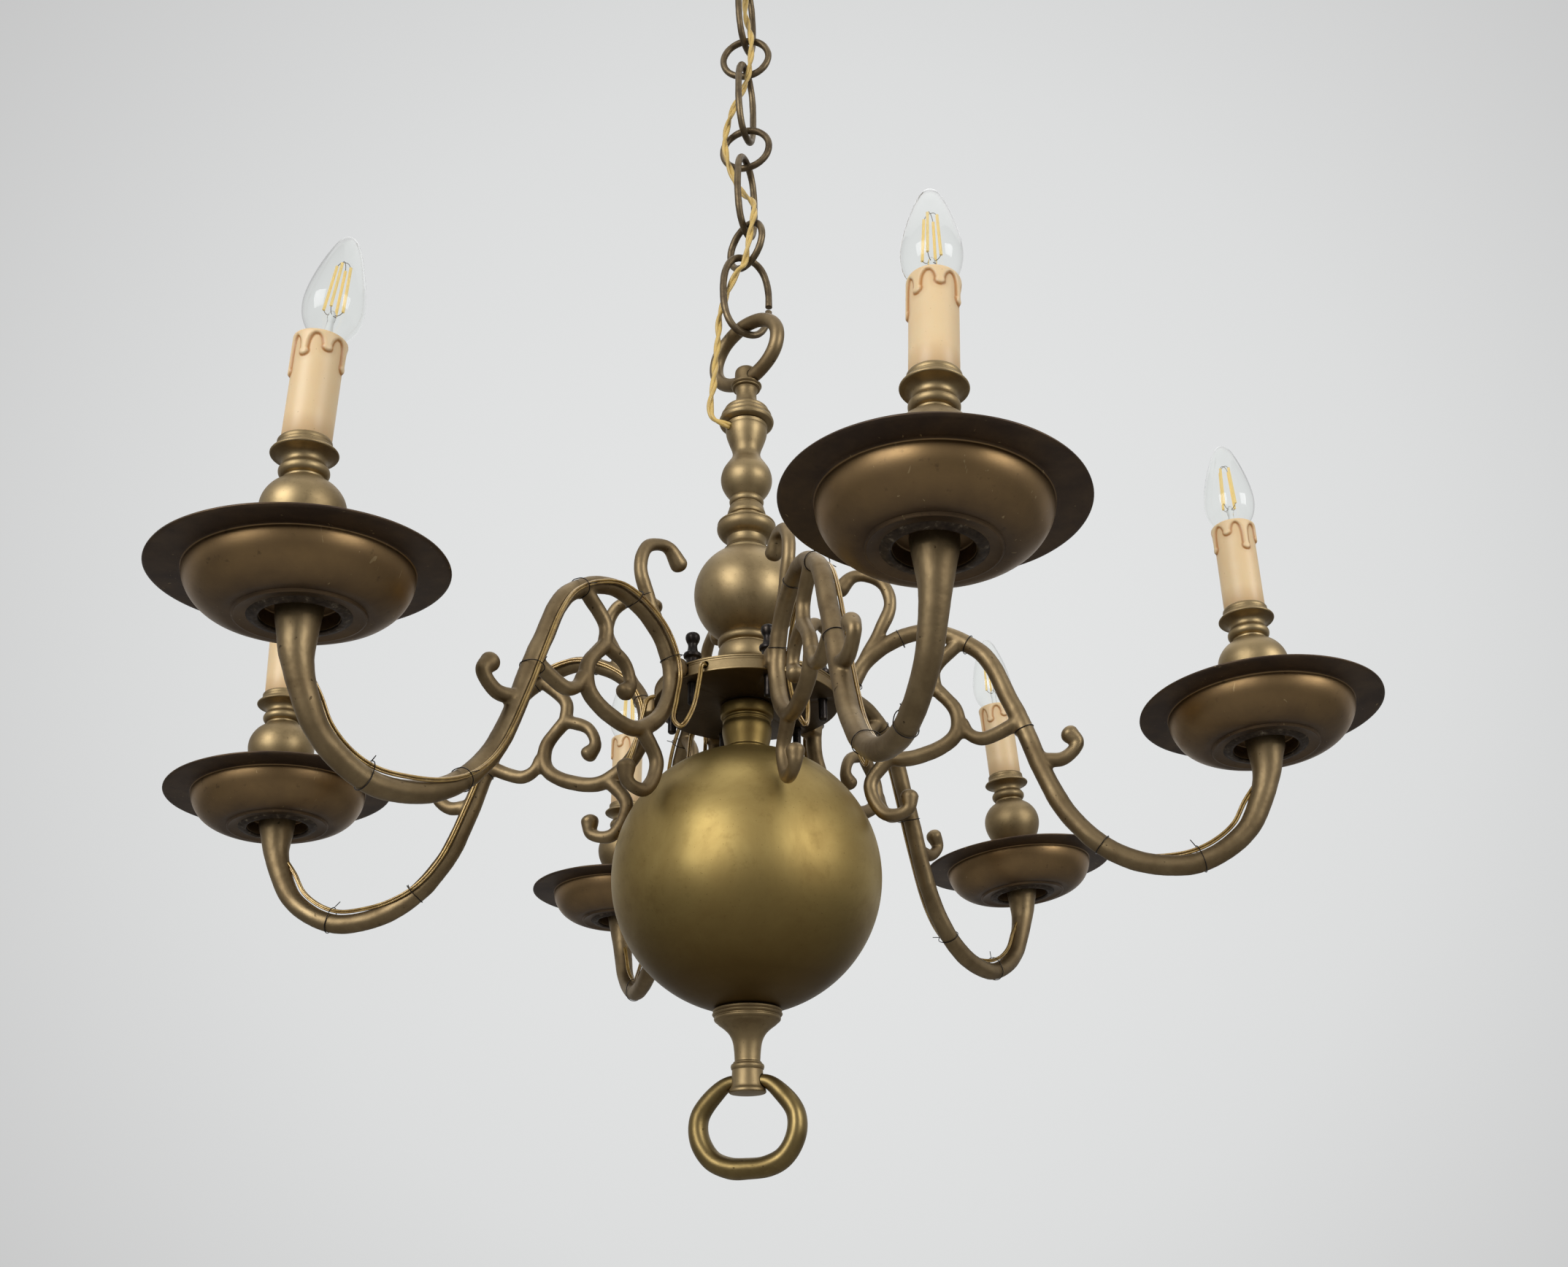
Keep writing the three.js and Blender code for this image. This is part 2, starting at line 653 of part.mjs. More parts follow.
const branchLines = [
  [hub(68.5, -3.8, branchTube), hub(68.5, 10.2, branchTube), hub(85.5, 28.2, branchTube)],
  [hub(68.5, -3.8, branchTube), hub(50.5, -11.8, 0.9 * branchTube), hub(47.5, -25.8, 0.85 * branchTube),
    hub(50.5, -31.8, blobRadius)],
  [hub(34.5, -52.8, branchTube + 0.4), hub(20.5, -72.8, branchTube), hub(30.5, -93.8, 0.9 * branchTube),
    hub(45.5, -91.8, 0.85 * branchTube), hub(47.5, -81.8, blobRadius)],
  [hub(122.5, -35.8, branchTube), hub(99.5, -44.8, branchTube), hub(90.5, -40.8, 0.9 * branchTube),
    hub(85.5, -31.8, branchTube)],
  [hub(138.5, -63.8, branchTube), hub(152.5, -63.8, branchTube), hub(162.5, -52.8, 0.9 * branchTube),
    hub(158.5, -45.8, blobRadius)],
  [hub(18.5, 20.2, branchTube), hub(31.5, 44.2, branchTube), hub(39.5, 65.2, 0.95 * branchTube),
    hub(33.5, 83.2, 0.9 * branchTube), hub(14.5, 90.2, 0.85 * branchTube), hub(2.5, 79.2, blobRadius)],
];
const branches = branchLines.map((controls) => {
  const line = smooth(controls, Math.round(1.2 * (controls.length - 1)));
  return tube(line.points, line.radii, branchSides);
});
const tongueEnd = plateRadius - tongueReach;
const tongueRoot = plateRadius + 9;
const tongue = solid(new THREE.BoxGeometry(tongueRoot - tongueEnd, tongueWidth, tongueThick))
  .translate([(tongueRoot + tongueEnd) / 2, 0, plateMiddle]);
const nippleTop = armEnd + nippleLength;
const nipple = bar([lampCircle, 0, armEnd - 2], [lampCircle, 0, nippleTop], nippleRadius, armSides);

// The flex's line: out of the arm's mouth, along the tube, beside the arch and round to the drum
const flexSide = Math.max(armInnerTube, tongueWidth / 2) + flexRadius + wireGap;
const vector = ([x, z], y = 0) => new THREE.Vector3(x, y, z);
const insideArm = [
  vector(lamp(0, nippleLength + 8)),
  vector(lamp(0, -14)),
  vector(lamp(2, -23)),
  vector(lamp(8, -31)),
];
const firstHeld = Math.round(0.11 * armSteps);
const lastHeld = Math.round(0.62 * armSteps);
const alongArm = armLine.points.slice(firstHeld, lastHeld + 1).map((point, i) => {
  const at = firstHeld + i;
  const tangent = armLine.tangents[at];
  const around = THREE.MathUtils.smoothstep(at / armSteps, 0.16, 0.3) * Math.PI / 2;
  const away = armLine.radii[at] + flexRadius + wireGap;
  const normal = new THREE.Vector3(tangent.z, 0, -tangent.x);
  const side = new THREE.Vector3(0, flexSide, 0);
  return point.clone()
    .addScaledVector(normal, away * Math.cos(around))
    .addScaledVector(side, Math.sin(around));
});
const atRim = heading(flexHoleTurn);
const rimPoint = (radius, up) => atRim.clone().multiplyScalar(radius).setZ(plateMiddle + up);
const looseLoop = [
  vector(hub(12.5, -0.55 * flexLoopDrop), flexSide + 1),
  vector(hub(17.5, -0.9 * flexLoopDrop), flexSide + 4),
  vector(hub(15.5, -flexLoopDrop), flexSide + 9),
  vector(hub(9.5, -0.75 * flexLoopDrop), flexSide + 13),
  rimPoint(plateRadius + 7, -0.25 * flexLoopDrop),
  rimPoint(plateRadius + 4.5, -2.5),
  rimPoint(plateRadius, 0),
  rimPoint(spliceRadius - 4, 0),
];
const flexLine = [...insideArm, ...alongArm, ...looseLoop];
const flex = tube(flexLine, flexRadius, wireSides);
const channel = tube(
  [vector(lamp(0, nippleLength + 12)), ...insideArm.slice(1), alongArm[0]],
  clearing(flexRadius, wireGap, wireSides),
  wireSides,
);
const armTubes = tube([vector(lamp(0, 0)), ...armLine.points], [armMouth, ...armLine.radii], armSides);
const armBody = cut(join([armTubes, ...branches, tongue, nipple]), [
  channel,
  pinHole,
]);

// Drip pan: flat bottom with a bead round the arm's recess, spun bowl and wide rim
const panHole = clearing(nippleRadius, shaftGap, panSides);
const recessTop = armEnd + touchGap;
const panUnder = recessTop - recessDepth;
const panRim = panUnder + panDepth;
const bowlRadius = panRadius - panRimWidth;
const panBody = turnedRing([
  [panHole, recessTop],
  [recessRadius, recessTop],
  [recessRadius, panUnder - beadHeight],
  [recessRadius + beadWidth, panUnder - beadHeight],
  [panFlat, panUnder],
  [panFlat + 0.6 * (bowlRadius - panFlat), panUnder + 0.22 * panDepth],
  [bowlRadius, panRim - panRimLip],
  [panRadius, panRim - panRimLip],
  [panRadius, panRim],
  [bowlRadius - panWall, panRim],
  [panFlat + 0.6 * (bowlRadius - panFlat) - 0.6 * panWall, panUnder + 0.22 * panDepth + panWall],
  [recessRadius + panWall, panUnder + panWall],
  [recessRadius + panWall, recessTop + panWall],
  [panHole, recessTop + panWall],
], panSides);

// Candle cup: foot, neck, ball, ring, waist, flange and the seat of the sleeve
const lampHole = clearing(nippleRadius, shaftGap, lampSides);
const cupEnd = recessTop + panWall + touchGap;
const cupTop = cupEnd + cupHeight;
const flangeAt = cupTop - cupFlangeDrop;
const cupBallAt = flangeAt - cupBallDrop;
const seatRadius = sleeveRadius + shaftGap;
const cupBody = turnedRing([
  [lampHole, cupEnd],
  [cupFoot, cupEnd],
  [cupNeck, cupEnd + 12],
  [0.8 * cupBall, cupBallAt - 16],
  [cupBall, cupBallAt],
  [0.86 * cupBall, cupBallAt + 10],
  [cupWaist - 1, flangeAt - 16],
  [cupRing, flangeAt - 10.6],
  [cupWaist, flangeAt - 6],
  [cupFlange, flangeAt],
  [seatRadius + seatWall, flangeAt + 2.4],
  [seatRadius + seatWall, cupTop],
  [seatRadius, cupTop],
  [seatRadius, cupTop - seatDepth],
  [lampHole, cupTop - seatDepth],
], lampSides);

// Sleeve, lampholder and bulb stand in the cup's seat
const sleeveEnd = cupTop - seatDepth + touchGap;
const sleeveTop = sleeveEnd + sleeveHeight;
const sleeveBody = turnedRing([
  [sleeveRadius, sleeveEnd],
  [sleeveRadius, sleeveTop],
  [sleeveRadius - sleeveWall, sleeveTop],
  [sleeveRadius - sleeveWall, sleeveEnd],
], lampSides);
const socketBore = bulbBaseRadius + shaftGap;
const socketTop = sleeveEnd + socketHeight;
const contactTop = socketTop - bulbBaseHeight;
const socketBody = turned([
  [0, contactTop - socketFloor],
  [lampHole, contactTop - socketFloor],
  [lampHole, sleeveEnd],
  [socketRadius, sleeveEnd],
  [socketRadius, socketTop],
  [socketBore, socketTop],
  [socketBore, contactTop],
  [0, contactTop],
], lampSides);
const bulbEnd = contactTop + touchGap;
const glassHeight = bulbHeight - bulbBaseHeight;
const glassEnd = bulbEnd + bulbBaseHeight;
const bulbBody = turned([
  [0, bulbEnd],
  [bulbBaseRadius, bulbEnd + 1],
  [bulbBaseRadius, glassEnd],
  [0.8 * bulbRadius, glassEnd + 0.12 * glassHeight],
  [bulbRadius, glassEnd + 0.3 * glassHeight],
  [0.85 * bulbRadius, glassEnd + 0.57 * glassHeight],
  [0.36 * bulbRadius, glassEnd + 0.92 * glassHeight],
  [0, glassEnd + glassHeight],
], lampSides);

// Pin: dropped from above through the drum and the arm's tongue
const pinSeat = plateTop + touchGap;
const pinTop = plateTop + pinAbovePlate;
const pinBody = turned([
  [0, pinTop],
  [pinKnob, pinTop - 2.5],
  [pinShaft, pinTop - 9],
  [pinRing, pinTop - 14.5],
  [pinRing, pinTop - 16.5],
  [pinShoulder, pinSeat],
  [pinShaft, pinSeat],
  [pinShaft, plateUnder - pinBelowPlate],
  [0, plateUnder - pinBelowPlate - 1],
], pinSides);

const lampPieces = [
  ['drip_pan', panBody, brass],
  ['candle_cup', cupBody, brass],
  ['candle_sleeve', sleeveBody, wax],
  ['lamp_socket', socketBody, porcelain],
  ['bulb', bulbBody, glass],
].map(([name, body, material]) => [name, body.translate([lampCircle, 0, 0]), material]);
for (const [letter, turn] of Object.entries(armTurns)) {
  add(`arm_${letter}`, armBody, darkBrass(), turn - 90);
  add(`arm_pin_${letter}`, pinBody.translate([pinHoleAt, 0, 0]), pinMetal(), turn - 90);
  for (const [name, body, material] of lampPieces) {
    add(`${name}_${letter}`, body, material(), turn - 90);
  }
}

// The lead: in at the cord hole and down beside the rod to the drum
const leadAt = rodRadius + leadRadius + slotGap;
const leadPoint = (radius, height) => fromFront(cordHoleTurn, radius, height);
const lead = tube([
  leadPoint(stemBore + 3, cordHoleHeight),
  leadPoint(leadAt + 2, cordHoleHeight),
  leadPoint(leadAt + 0.3, cordHoleHeight - 2.2),
  leadPoint(leadAt, cordHoleHeight - 7),
  leadPoint(leadAt, (cordHoleHeight + plateTop) / 2),
  leadPoint(leadAt, plateMiddle),
], leadRadius, 6);

// Supply cord: from the rose down through the chain to the hole under the collar
const cordLine = new THREE.CatmullRomCurve3(cordRoute.map((point) => new THREE.Vector3(...point)));
const cordStations = [
  new THREE.Vector3(...cordRoute[0]).setZ(-rosePlate - touchGap),
  ...cordLine.getSpacedPoints(32),
  leadPoint(vaseRadius + 4, cordHoleHeight),
  leadPoint(stemBore + 3 + touchGap, cordHoleHeight),
];
add('supply_cord', tube(cordStations, cordRadius, 8), gold());

// Splices in the drum and the flexes
const spliceHalf = slotHeight / 2 - slotGap;
const spliceHole = clearing(rodRadius, shaftGap, 10);
const splices = turnedRing([
  [spliceHole, plateMiddle + spliceHalf],
  [spliceRadius, plateMiddle + spliceHalf],
  [spliceRadius, plateMiddle - spliceHalf],
  [spliceHole, plateMiddle - spliceHalf],
], 10);
const flexes = Object.values(armTurns).map((turn) => flex.rotate([0, 0, turn - 90]));
add('arm_wiring', join([splices, lead, ...flexes]), clearFlex());

export default chandelier;
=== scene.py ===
"""Dresses the six-arm ball chandelier: its turned, cast, wired and glass pieces, the cord and the stage."""
import json
import math

import bpy
from bpy.props import FloatProperty, FloatVectorProperty, PointerProperty
from mathutils import Matrix, Vector, noise


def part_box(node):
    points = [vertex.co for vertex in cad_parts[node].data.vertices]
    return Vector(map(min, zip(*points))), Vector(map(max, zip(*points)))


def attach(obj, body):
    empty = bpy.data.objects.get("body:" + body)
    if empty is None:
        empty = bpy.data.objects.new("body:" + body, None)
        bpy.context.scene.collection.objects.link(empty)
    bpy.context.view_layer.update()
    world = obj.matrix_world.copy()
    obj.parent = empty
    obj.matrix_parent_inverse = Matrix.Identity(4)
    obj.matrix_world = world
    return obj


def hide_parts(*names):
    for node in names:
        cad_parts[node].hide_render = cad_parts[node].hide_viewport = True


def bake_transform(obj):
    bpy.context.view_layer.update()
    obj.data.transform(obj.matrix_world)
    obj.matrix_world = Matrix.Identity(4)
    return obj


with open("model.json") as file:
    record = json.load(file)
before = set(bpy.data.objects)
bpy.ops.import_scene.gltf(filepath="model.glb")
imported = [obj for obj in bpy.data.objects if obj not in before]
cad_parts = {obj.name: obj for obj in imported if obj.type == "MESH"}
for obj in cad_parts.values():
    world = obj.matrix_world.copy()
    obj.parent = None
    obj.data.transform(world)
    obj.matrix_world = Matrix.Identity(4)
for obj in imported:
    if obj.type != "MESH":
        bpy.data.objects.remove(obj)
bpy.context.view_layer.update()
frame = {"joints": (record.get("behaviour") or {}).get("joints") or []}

bl_info = {
    "name": "Ball chandelier",
    "version": (1, 0, 0),
    "blender": (4, 5, 0),
    "location": "3D View > Sidebar > Chandelier",
    "description": "Builds the finished pieces of a six-arm ball chandelier over its packed model",
    "category": "Add Mesh",
}

MM = 0.001

# Where the arms point, in degrees counted from the front toward the right

ARMS = {"a": -43.3, "b": 15.5, "c": 77.7, "d": 138.0, "e": 198.4, "f": -102.5}

# The CAD's own sizes that no box of a node gives, in millimetres and degrees

LAMP_CIRCLE = 350.0
LAMP_DROP = 58.8
PLATE_RADIUS = 65.5
PIN_CIRCLE = 54.5
WIRE_HOLE_ASIDE = 17.5
CHAIN_WIRE = 2.5


def linear(code):
    """An sRGB hex colour as linear red, green, blue and alpha."""
    channels = [int(code[i:i + 2], 16) / 255 for i in (0, 2, 4)]
    return (*[c / 12.92 if c <= 0.04045 else ((c + 0.055) / 1.055) ** 2.4 for c in channels], 1.0)


def low(node):
    """The lowest height of a CAD node, in millimetres."""
    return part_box(node)[0][2] / MM


def high(node):
    """The greatest height of a CAD node, in millimetres."""
    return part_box(node)[1][2] / MM


def middle(node):
    """The height of a CAD node's middle, in millimetres."""
    return (low(node) + high(node)) / 2


def hung_at(body):
    """The height of the joint that a body hangs from, in millimetres."""
    return next(joint["pos_m"][2] for joint in frame["joints"] if joint["child"] == body) / MM


def colour(label, told, code):
    """A colour that a user can change."""
    return FloatVectorProperty(
        name=label, description=told, subtype="COLOR", size=4, min=0, max=1, default=linear(code))


def length(label, told, size, least, most):
    """A length that a user can change, its three values in millimetres."""
    return FloatProperty(
        name=label, description=told, default=size * MM, min=least * MM, max=most * MM, unit="LENGTH")


class FinishColours(bpy.types.PropertyGroup):
    """The colours of the finishes."""

    brass: colour("Brass", "Satin brass of the turned pieces under a thin brown patina", "988562")
    patina: colour("Patina", "Brown patina that lies on the brass", "4E3D28")
    cast: colour("Cast brass", "Unpolished brass of the arms", "877557")
    iron: colour("Chain iron", "Oiled iron wire of the chain", "74654D")
    wax: colour("Sleeve", "Cream plastic of the candle sleeves", "E3C89C")
    drip: colour("Sleeve shading", "Brown stain along the moulded drips", "A8691F")
    cord: colour("Supply cord", "Gold twisted cord", "D3B264")
    flex: colour("Flex", "Clear insulation over copper", "B99A58")


class PieceSizes(bpy.types.PropertyGroup):
    """The sizes of the wires and lamps."""

    cord_radius: length("Cord radius", "Radius of the twisted cord over both strands", 2.8, 1, 5)
    cord_lay: length("Lay of the cord", "Length of one turn of the two strands", 42, 8, 60)
    chain_radius: length("Chain wire radius", "Radius of the wire of the chain's links", 2.8, 1, 4)
    bulb_radius: length("Bulb radius", "Widest radius of the candle bulbs' glass", 17.5, 12, 20)
    sleeve_radius: length("Sleeve radius", "Radius of the candle sleeves below the drips", 13.7, 10, 16)


# Lines and outlines, in millimetres

def clamped(value):
    """A value held between 0 and 1."""
    return min(1.0, max(0.0, value))


def direction(line, i):
    """The way that a line runs at one of its points."""
    before, after = line[max(i - 1, 0)], line[min(i + 1, len(line) - 1)]
    return (Vector(after[:3]) - Vector(before[:3])).normalized()


def round_about(ahead, start, angle):
    """A direction square to the way ahead, turned round it by an angle from a start."""
    across = ahead.cross(Vector(start)).normalized()
    return across * math.cos(angle) + ahead.cross(across) * math.sin(angle)


def through(points, share, closed=False):
    """A smooth line through given points, in equal shares between each two of them.

    Any value after a point's place is carried along.
    """
    given = [Vector(point) for point in points]
    if closed:
        given = [given[-1], *given, given[0], given[1]]
    else:
        given = [2 * given[0] - given[1], *given, 2 * given[-1] - given[-2]]
    line = []
    for p0, p1, p2, p3 in zip(given, given[1:], given[2:], given[3:]):
        t1 = max((p1 - p0).length, 1e-6) ** 0.5
        t2 = t1 + max((p2 - p1).length, 1e-6) ** 0.5
        t3 = t2 + max((p3 - p2).length, 1e-6) ** 0.5
        for step in range(share):
            t = t1 + (t2 - t1) * step / share
            a1 = p0.lerp(p1, t / t1)
            a2 = p1.lerp(p2, (t - t1) / (t2 - t1))
            a3 = p2.lerp(p3, (t - t2) / (t3 - t2))
            b1 = a1.lerp(a2, t / t2)
            b2 = a2.lerp(a3, (t - t1) / (t3 - t1))
            line.append(b1.lerp(b2, (t - t1) / (t2 - t1)))
    return line if closed else [*line, given[-2]]


SOFT = True


def eased(outline, share):
    """An outline of (radius, height) corners; a point marked SOFT lies on a smooth stretch between corners."""
    line, run = [Vector(outline[0][:2])], [outline[0][:2]]
    for point in outline[1:]:
        run.append(point[:2])
        if len(point) == 2:
            line += through(run, share)[1:] if len(run) > 2 else [Vector(run[-1])]
            run = [point]
    return line


def raised(level, outline):
    """An outline whose heights are counted from a level."""
    return [(radius, level + up, *soft) for radius, up, *soft in outline]


def arc(centre, size, start, end, steps):
    """Outline points along an arc about a (radius, height) centre, between two angles in degrees."""
    angles = [math.radians(start + (end - start) * i / steps) for i in range(steps + 1)]
    return [(centre[0] + size * math.cos(a), centre[1] + size * math.sin(a)) for a in angles]


def facing(degrees, radius, height=0.0):
    """A point at an angle from the front, as the arms are counted."""
    angle = math.radians(degrees - 90)
    return Vector((radius * math.cos(angle), radius * math.sin(angle), height))


# Modelling steps

def deselect():
    """Leaves nothing selected."""
    for thing in bpy.context.selected_objects:
        thing.select_set(False)


def only(piece):
    """Makes a piece the one that the next operator works on."""
    deselect()
    piece.select_set(True)
    bpy.context.view_layer.objects.active = piece


def weld(gap):
    """Joins what lies closer than a gap in millimetres, turns the faces outward and ends the editing."""
    bpy.ops.mesh.select_all(action="SELECT")
    bpy.ops.mesh.remove_doubles(threshold=gap * MM)
    bpy.ops.mesh.normals_make_consistent(inside=False)
    bpy.ops.object.mode_set(mode="OBJECT")


def turned(name, outline, steps, share=5):
    """Turns an outline about the upright axis, as on a lathe, from a single drawn edge."""
    line = eased(outline, share)
    deselect()
    bpy.ops.mesh.primitive_plane_add(size=MM)
    piece = bpy.context.object
    piece.name = name
    bpy.ops.object.mode_set(mode="EDIT")
    bpy.ops.mesh.merge(type="CENTER")
    bpy.ops.transform.translate(value=(line[0][0] * MM, 0, line[0][1] * MM))
    for before, after in zip(line, line[1:]):
        step = (after - before) * MM
        bpy.ops.mesh.extrude_vertices_move(TRANSFORM_OT_translate={"value": (step[0], 0, step[1])})
    bpy.ops.mesh.select_all(action="SELECT")
    bpy.ops.mesh.spin(steps=steps, angle=2 * math.pi, center=(0, 0, 0), axis=(0, 0, 1))
    weld(0.005)
    return piece


def rod(name, line, sides, closed=False):
    """A round rod along a line of (x, y, z, radius) points, drawn as a curve and made a mesh."""
    deselect()
    bpy.ops.curve.primitive_nurbs_path_add()
    piece = bpy.context.object
    piece.name = name
    curve = piece.data
    curve.splines.clear()
    spline = curve.splines.new("POLY")
    spline.points.add(len(line) - 1)
    for point, (x, y, z, radius) in zip(spline.points, line):
        point.co = (x * MM, y * MM, z * MM, 1)
        point.radius = radius
    spline.use_cyclic_u = closed
    curve.dimensions = "3D"
    curve.bevel_depth = MM
    curve.bevel_resolution = sides // 2 - 2
    curve.use_fill_caps = not closed
    bpy.ops.object.convert(target="MESH")
    piece = bpy.context.object
    bpy.ops.object.mode_set(mode="EDIT")
    weld(0.003)
    return piece


def thin_wire(name, points, radius, sides):
    """A wire of one thickness through given points."""
    return rod(name, [(*point, radius) for point in through(points, 5)], sides)


TIP_STEPS = 4


def rounded_ends(line):
    """A rod's line with its two ends closed to half-round tips."""
    def tip(end, before):
        ahead = (Vector(end[:3]) - Vector(before[:3])).normalized()
        made = []
        for i in range(1, TIP_STEPS + 1):
            angle = math.pi / 2 * i / TIP_STEPS * 0.97
            place = Vector(end[:3]) + ahead * end[3] * math.sin(angle) * 0.8
            made.append((*place, end[3] * math.cos(angle)))
        return made
    return [*reversed(tip(line[0], line[1])), *line, *tip(line[-1], line[-2])]


def apply_modifier(piece, kind, **settings):
    """Adds a modifier and applies it at once."""
    only(piece)
    made = piece.modifiers.new(kind.title(), kind)
    for key, value in settings.items():
        setattr(made, key, value)
    bpy.ops.object.modifier_apply(modifier=made.name)


def soften(piece, width):
    """Breaks the sharp edges by a width in millimetres, so that they catch the light."""
    apply_modifier(piece, "BEVEL", width=width * MM, segments=2, limit_method="ANGLE",
                   angle_limit=math.radians(35))


def cut(piece, cutter):
    """Cuts one solid out of another."""
    apply_modifier(piece, "BOOLEAN", operation="DIFFERENCE", object=cutter, solver="EXACT")
    bpy.data.objects.remove(cutter)


def cylinder(radius, start, end, sides):
    """A plain round cutter between two points in millimetres."""
    start, end = Vector(start) * MM, Vector(end) * MM
    deselect()
    bpy.ops.mesh.primitive_cylinder_add(vertices=sides, radius=radius * MM, depth=(end - start).length)
    cutter = bpy.context.object
    upright = (end - start).to_track_quat("Z", "Y").to_matrix().to_4x4()
    cutter.data.transform(Matrix.Translation((start + end) / 2) @ upright)
    return cutter


def block(reach, height, width, thick, degrees=0.0):
    """A squared block that reaches between two distances from the axis, in millimetres, at an angle about it."""
    deselect()
    bpy.ops.mesh.primitive_cube_add(size=1)
    piece = bpy.context.object
    piece.data.transform(turn(degrees) @ Matrix.Translation((sum(reach) / 2 * MM, 0, height * MM))
                         @ Matrix.Diagonal(((reach[1] - reach[0]) * MM, width * MM, thick * MM, 1)))
    return piece


def joined(name, pieces):
    """Several meshes as one piece."""
    only(pieces[0])
    for piece in pieces:
        piece.select_set(True)
    bpy.ops.object.join()
    pieces[0].name = name
    return pieces[0]


def roughen(piece, depth, size, seed):
    """Moves the surface in and out by a hand-worked unevenness, its depth and size in millimetres.

    The seed picks the place in the noise, so the same seed always gives the same surface.
    """
    piece.data.update()
    normals = [Vector(v.normal) for v in piece.data.vertices]
    for vertex, normal in zip(piece.data.vertices, normals):
        place = vertex.co / (size * MM) + Vector((seed, seed, seed))
        vertex.co += normal * noise.noise(place) * depth * MM


def moved(piece, matrix):
    """Moves a piece's mesh, so that its object stays at the origin."""
    piece.data.transform(matrix)
    piece.data.update()


def turn(degrees):
    """A turn about the upright axis."""
    return Matrix.Rotation(math.radians(degrees), 4, "Z")


def dressed(piece, finish, nodes, body="chandelier", angle=40):
    """Gives a piece its finish, hides the CAD nodes that it stands for and, where a body is given, hangs it on it."""
    only(piece)
    bpy.ops.object.shade_smooth_by_angle(angle=math.radians(angle))
    piece.data.materials.clear()
    piece.data.materials.append(finishes()[finish])
    if nodes:
        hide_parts(*nodes)
    if body:
        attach(piece, body)


def round_the_arms(piece, name, out=0.0):
    """One copy of a piece with a mesh of its own at every arm, after moving it out along +X, in millimetres."""
    moved(piece, Matrix.Translation((out * MM, 0, 0)))
    copies = {}
    for letter, degrees in ARMS.items():
        copy = piece.copy()
        copy.data = piece.data.copy()
        copy.name = f"{name}_{letter}"
        bpy.context.scene.collection.objects.link(copy)
        moved(copy, turn(degrees - 90))
        copies[letter] = copy
    bpy.data.objects.remove(piece)
    return copies


# How each real lamp has been bent and screwed: the lean of its pan with its cup, of its sleeve and of its bulb,
# each in degrees toward the front and to the right, and how much higher than in the model the pan, the cup's ball
# and then the bulb sit, in millimetres

LAMPS = {
    "a": {"pan": (3.4, -3.8), "sleeve": (4.2, 2.4), "bulb": (4.2, 7.2), "lift": 4.0, "rise": -2.5, "seat": 2.5},
    "b": {"pan": (0.0, 2.8), "sleeve": (-4.5, 3.0), "bulb": (-4.5, 1.8), "lift": 0.0, "rise": -5.4, "seat": 0.0},
    "c": {"pan": (-2.4, 0.2), "sleeve": (-1.0, 0.0), "bulb": (-1.0, 0.0), "lift": 0.0, "rise": -5.4, "seat": 0.0},
    "d": {"pan": (0.0, -4.0), "sleeve": (0.0, -4.0), "bulb": (0.0, -4.0), "lift": 0.0, "rise": 0.0, "seat": 0.0},
    "e": {"pan": (0.0, 0.0), "sleeve": (0.0, 0.0), "bulb": (0.0, 0.0), "lift": 0.0, "rise": 0.0, "seat": 0.0},
    "f": {"pan": (0.0, -4.0), "sleeve": (0.0, -2.0), "bulb": (0.0, -2.0), "lift": 0.0, "rise": -3.7, "seat": 0.0},
}


def raise_by(lift):
    """A move upward, in millimetres."""
    return Matrix.Translation((0, 0, lift * MM))


def leaned(letter, part="pan"):
    """The matrix that leans a part of a lamp about its foot, which the parts below it have carried along."""
    real = LAMPS[letter]
    before, place = Matrix.Identity(4), raise_by(real["lift"])
    feet = {"pan": arm_end(), "sleeve": low("candle_sleeve_a") + real["rise"], "bulb": low("bulb_a") + real["rise"]}
    for name, foot in feet.items():
        forward, right = (math.radians(angle) for angle in real[name])
        pivot = Matrix.Translation(facing(ARMS[letter], LAMP_CIRCLE * MM, foot * MM))
        lean = Matrix.Rotation(right, 4, "Y") @ Matrix.Rotation(forward, 4, "X")
        place = place @ pivot @ before.inverted() @ lean @ pivot.inverted()
        before = lean
        if name == part:
            break
    return place


def lifted(piece, start, end, lift, axis=None):
    """Stretches a piece between two heights in millimetres, so that all above them rises by the lift.

    Where the axis of a lamp is given, only what is within 40 mm of it moves.
    """
    for vertex in piece.data.vertices:
        if axis is None or (vertex.co.xy - axis.xy).length <= 40 * MM:
            vertex.co.z += lift * MM * clamped((vertex.co.z / MM - start) / (end - start))


# Materials

def add_node(material, kind, values=None, **settings):
    """Adds a shader node with its settings, and sets or links its inputs."""
    made = material.node_tree.nodes.new(kind)
    for key, value in settings.items():
        setattr(made, key, value)
    for key, value in (values or {}).items():
        if isinstance(value, bpy.types.NodeSocket):
            material.node_tree.links.new(value, made.inputs[key])
        else:
            made.inputs[key].default_value = value
    return made


def blank_material(name):
    """A material with no nodes yet."""
    material = bpy.data.materials.new(name)
    material.use_nodes = True
    material.node_tree.nodes.clear()
    return material


def surfaced(material, values):
    """Ends a material in one physical surface."""
    shader = add_node(material, "ShaderNodeBsdfPrincipled", values).outputs["BSDF"]
    add_node(material, "ShaderNodeOutputMaterial", {"Surface": shader})


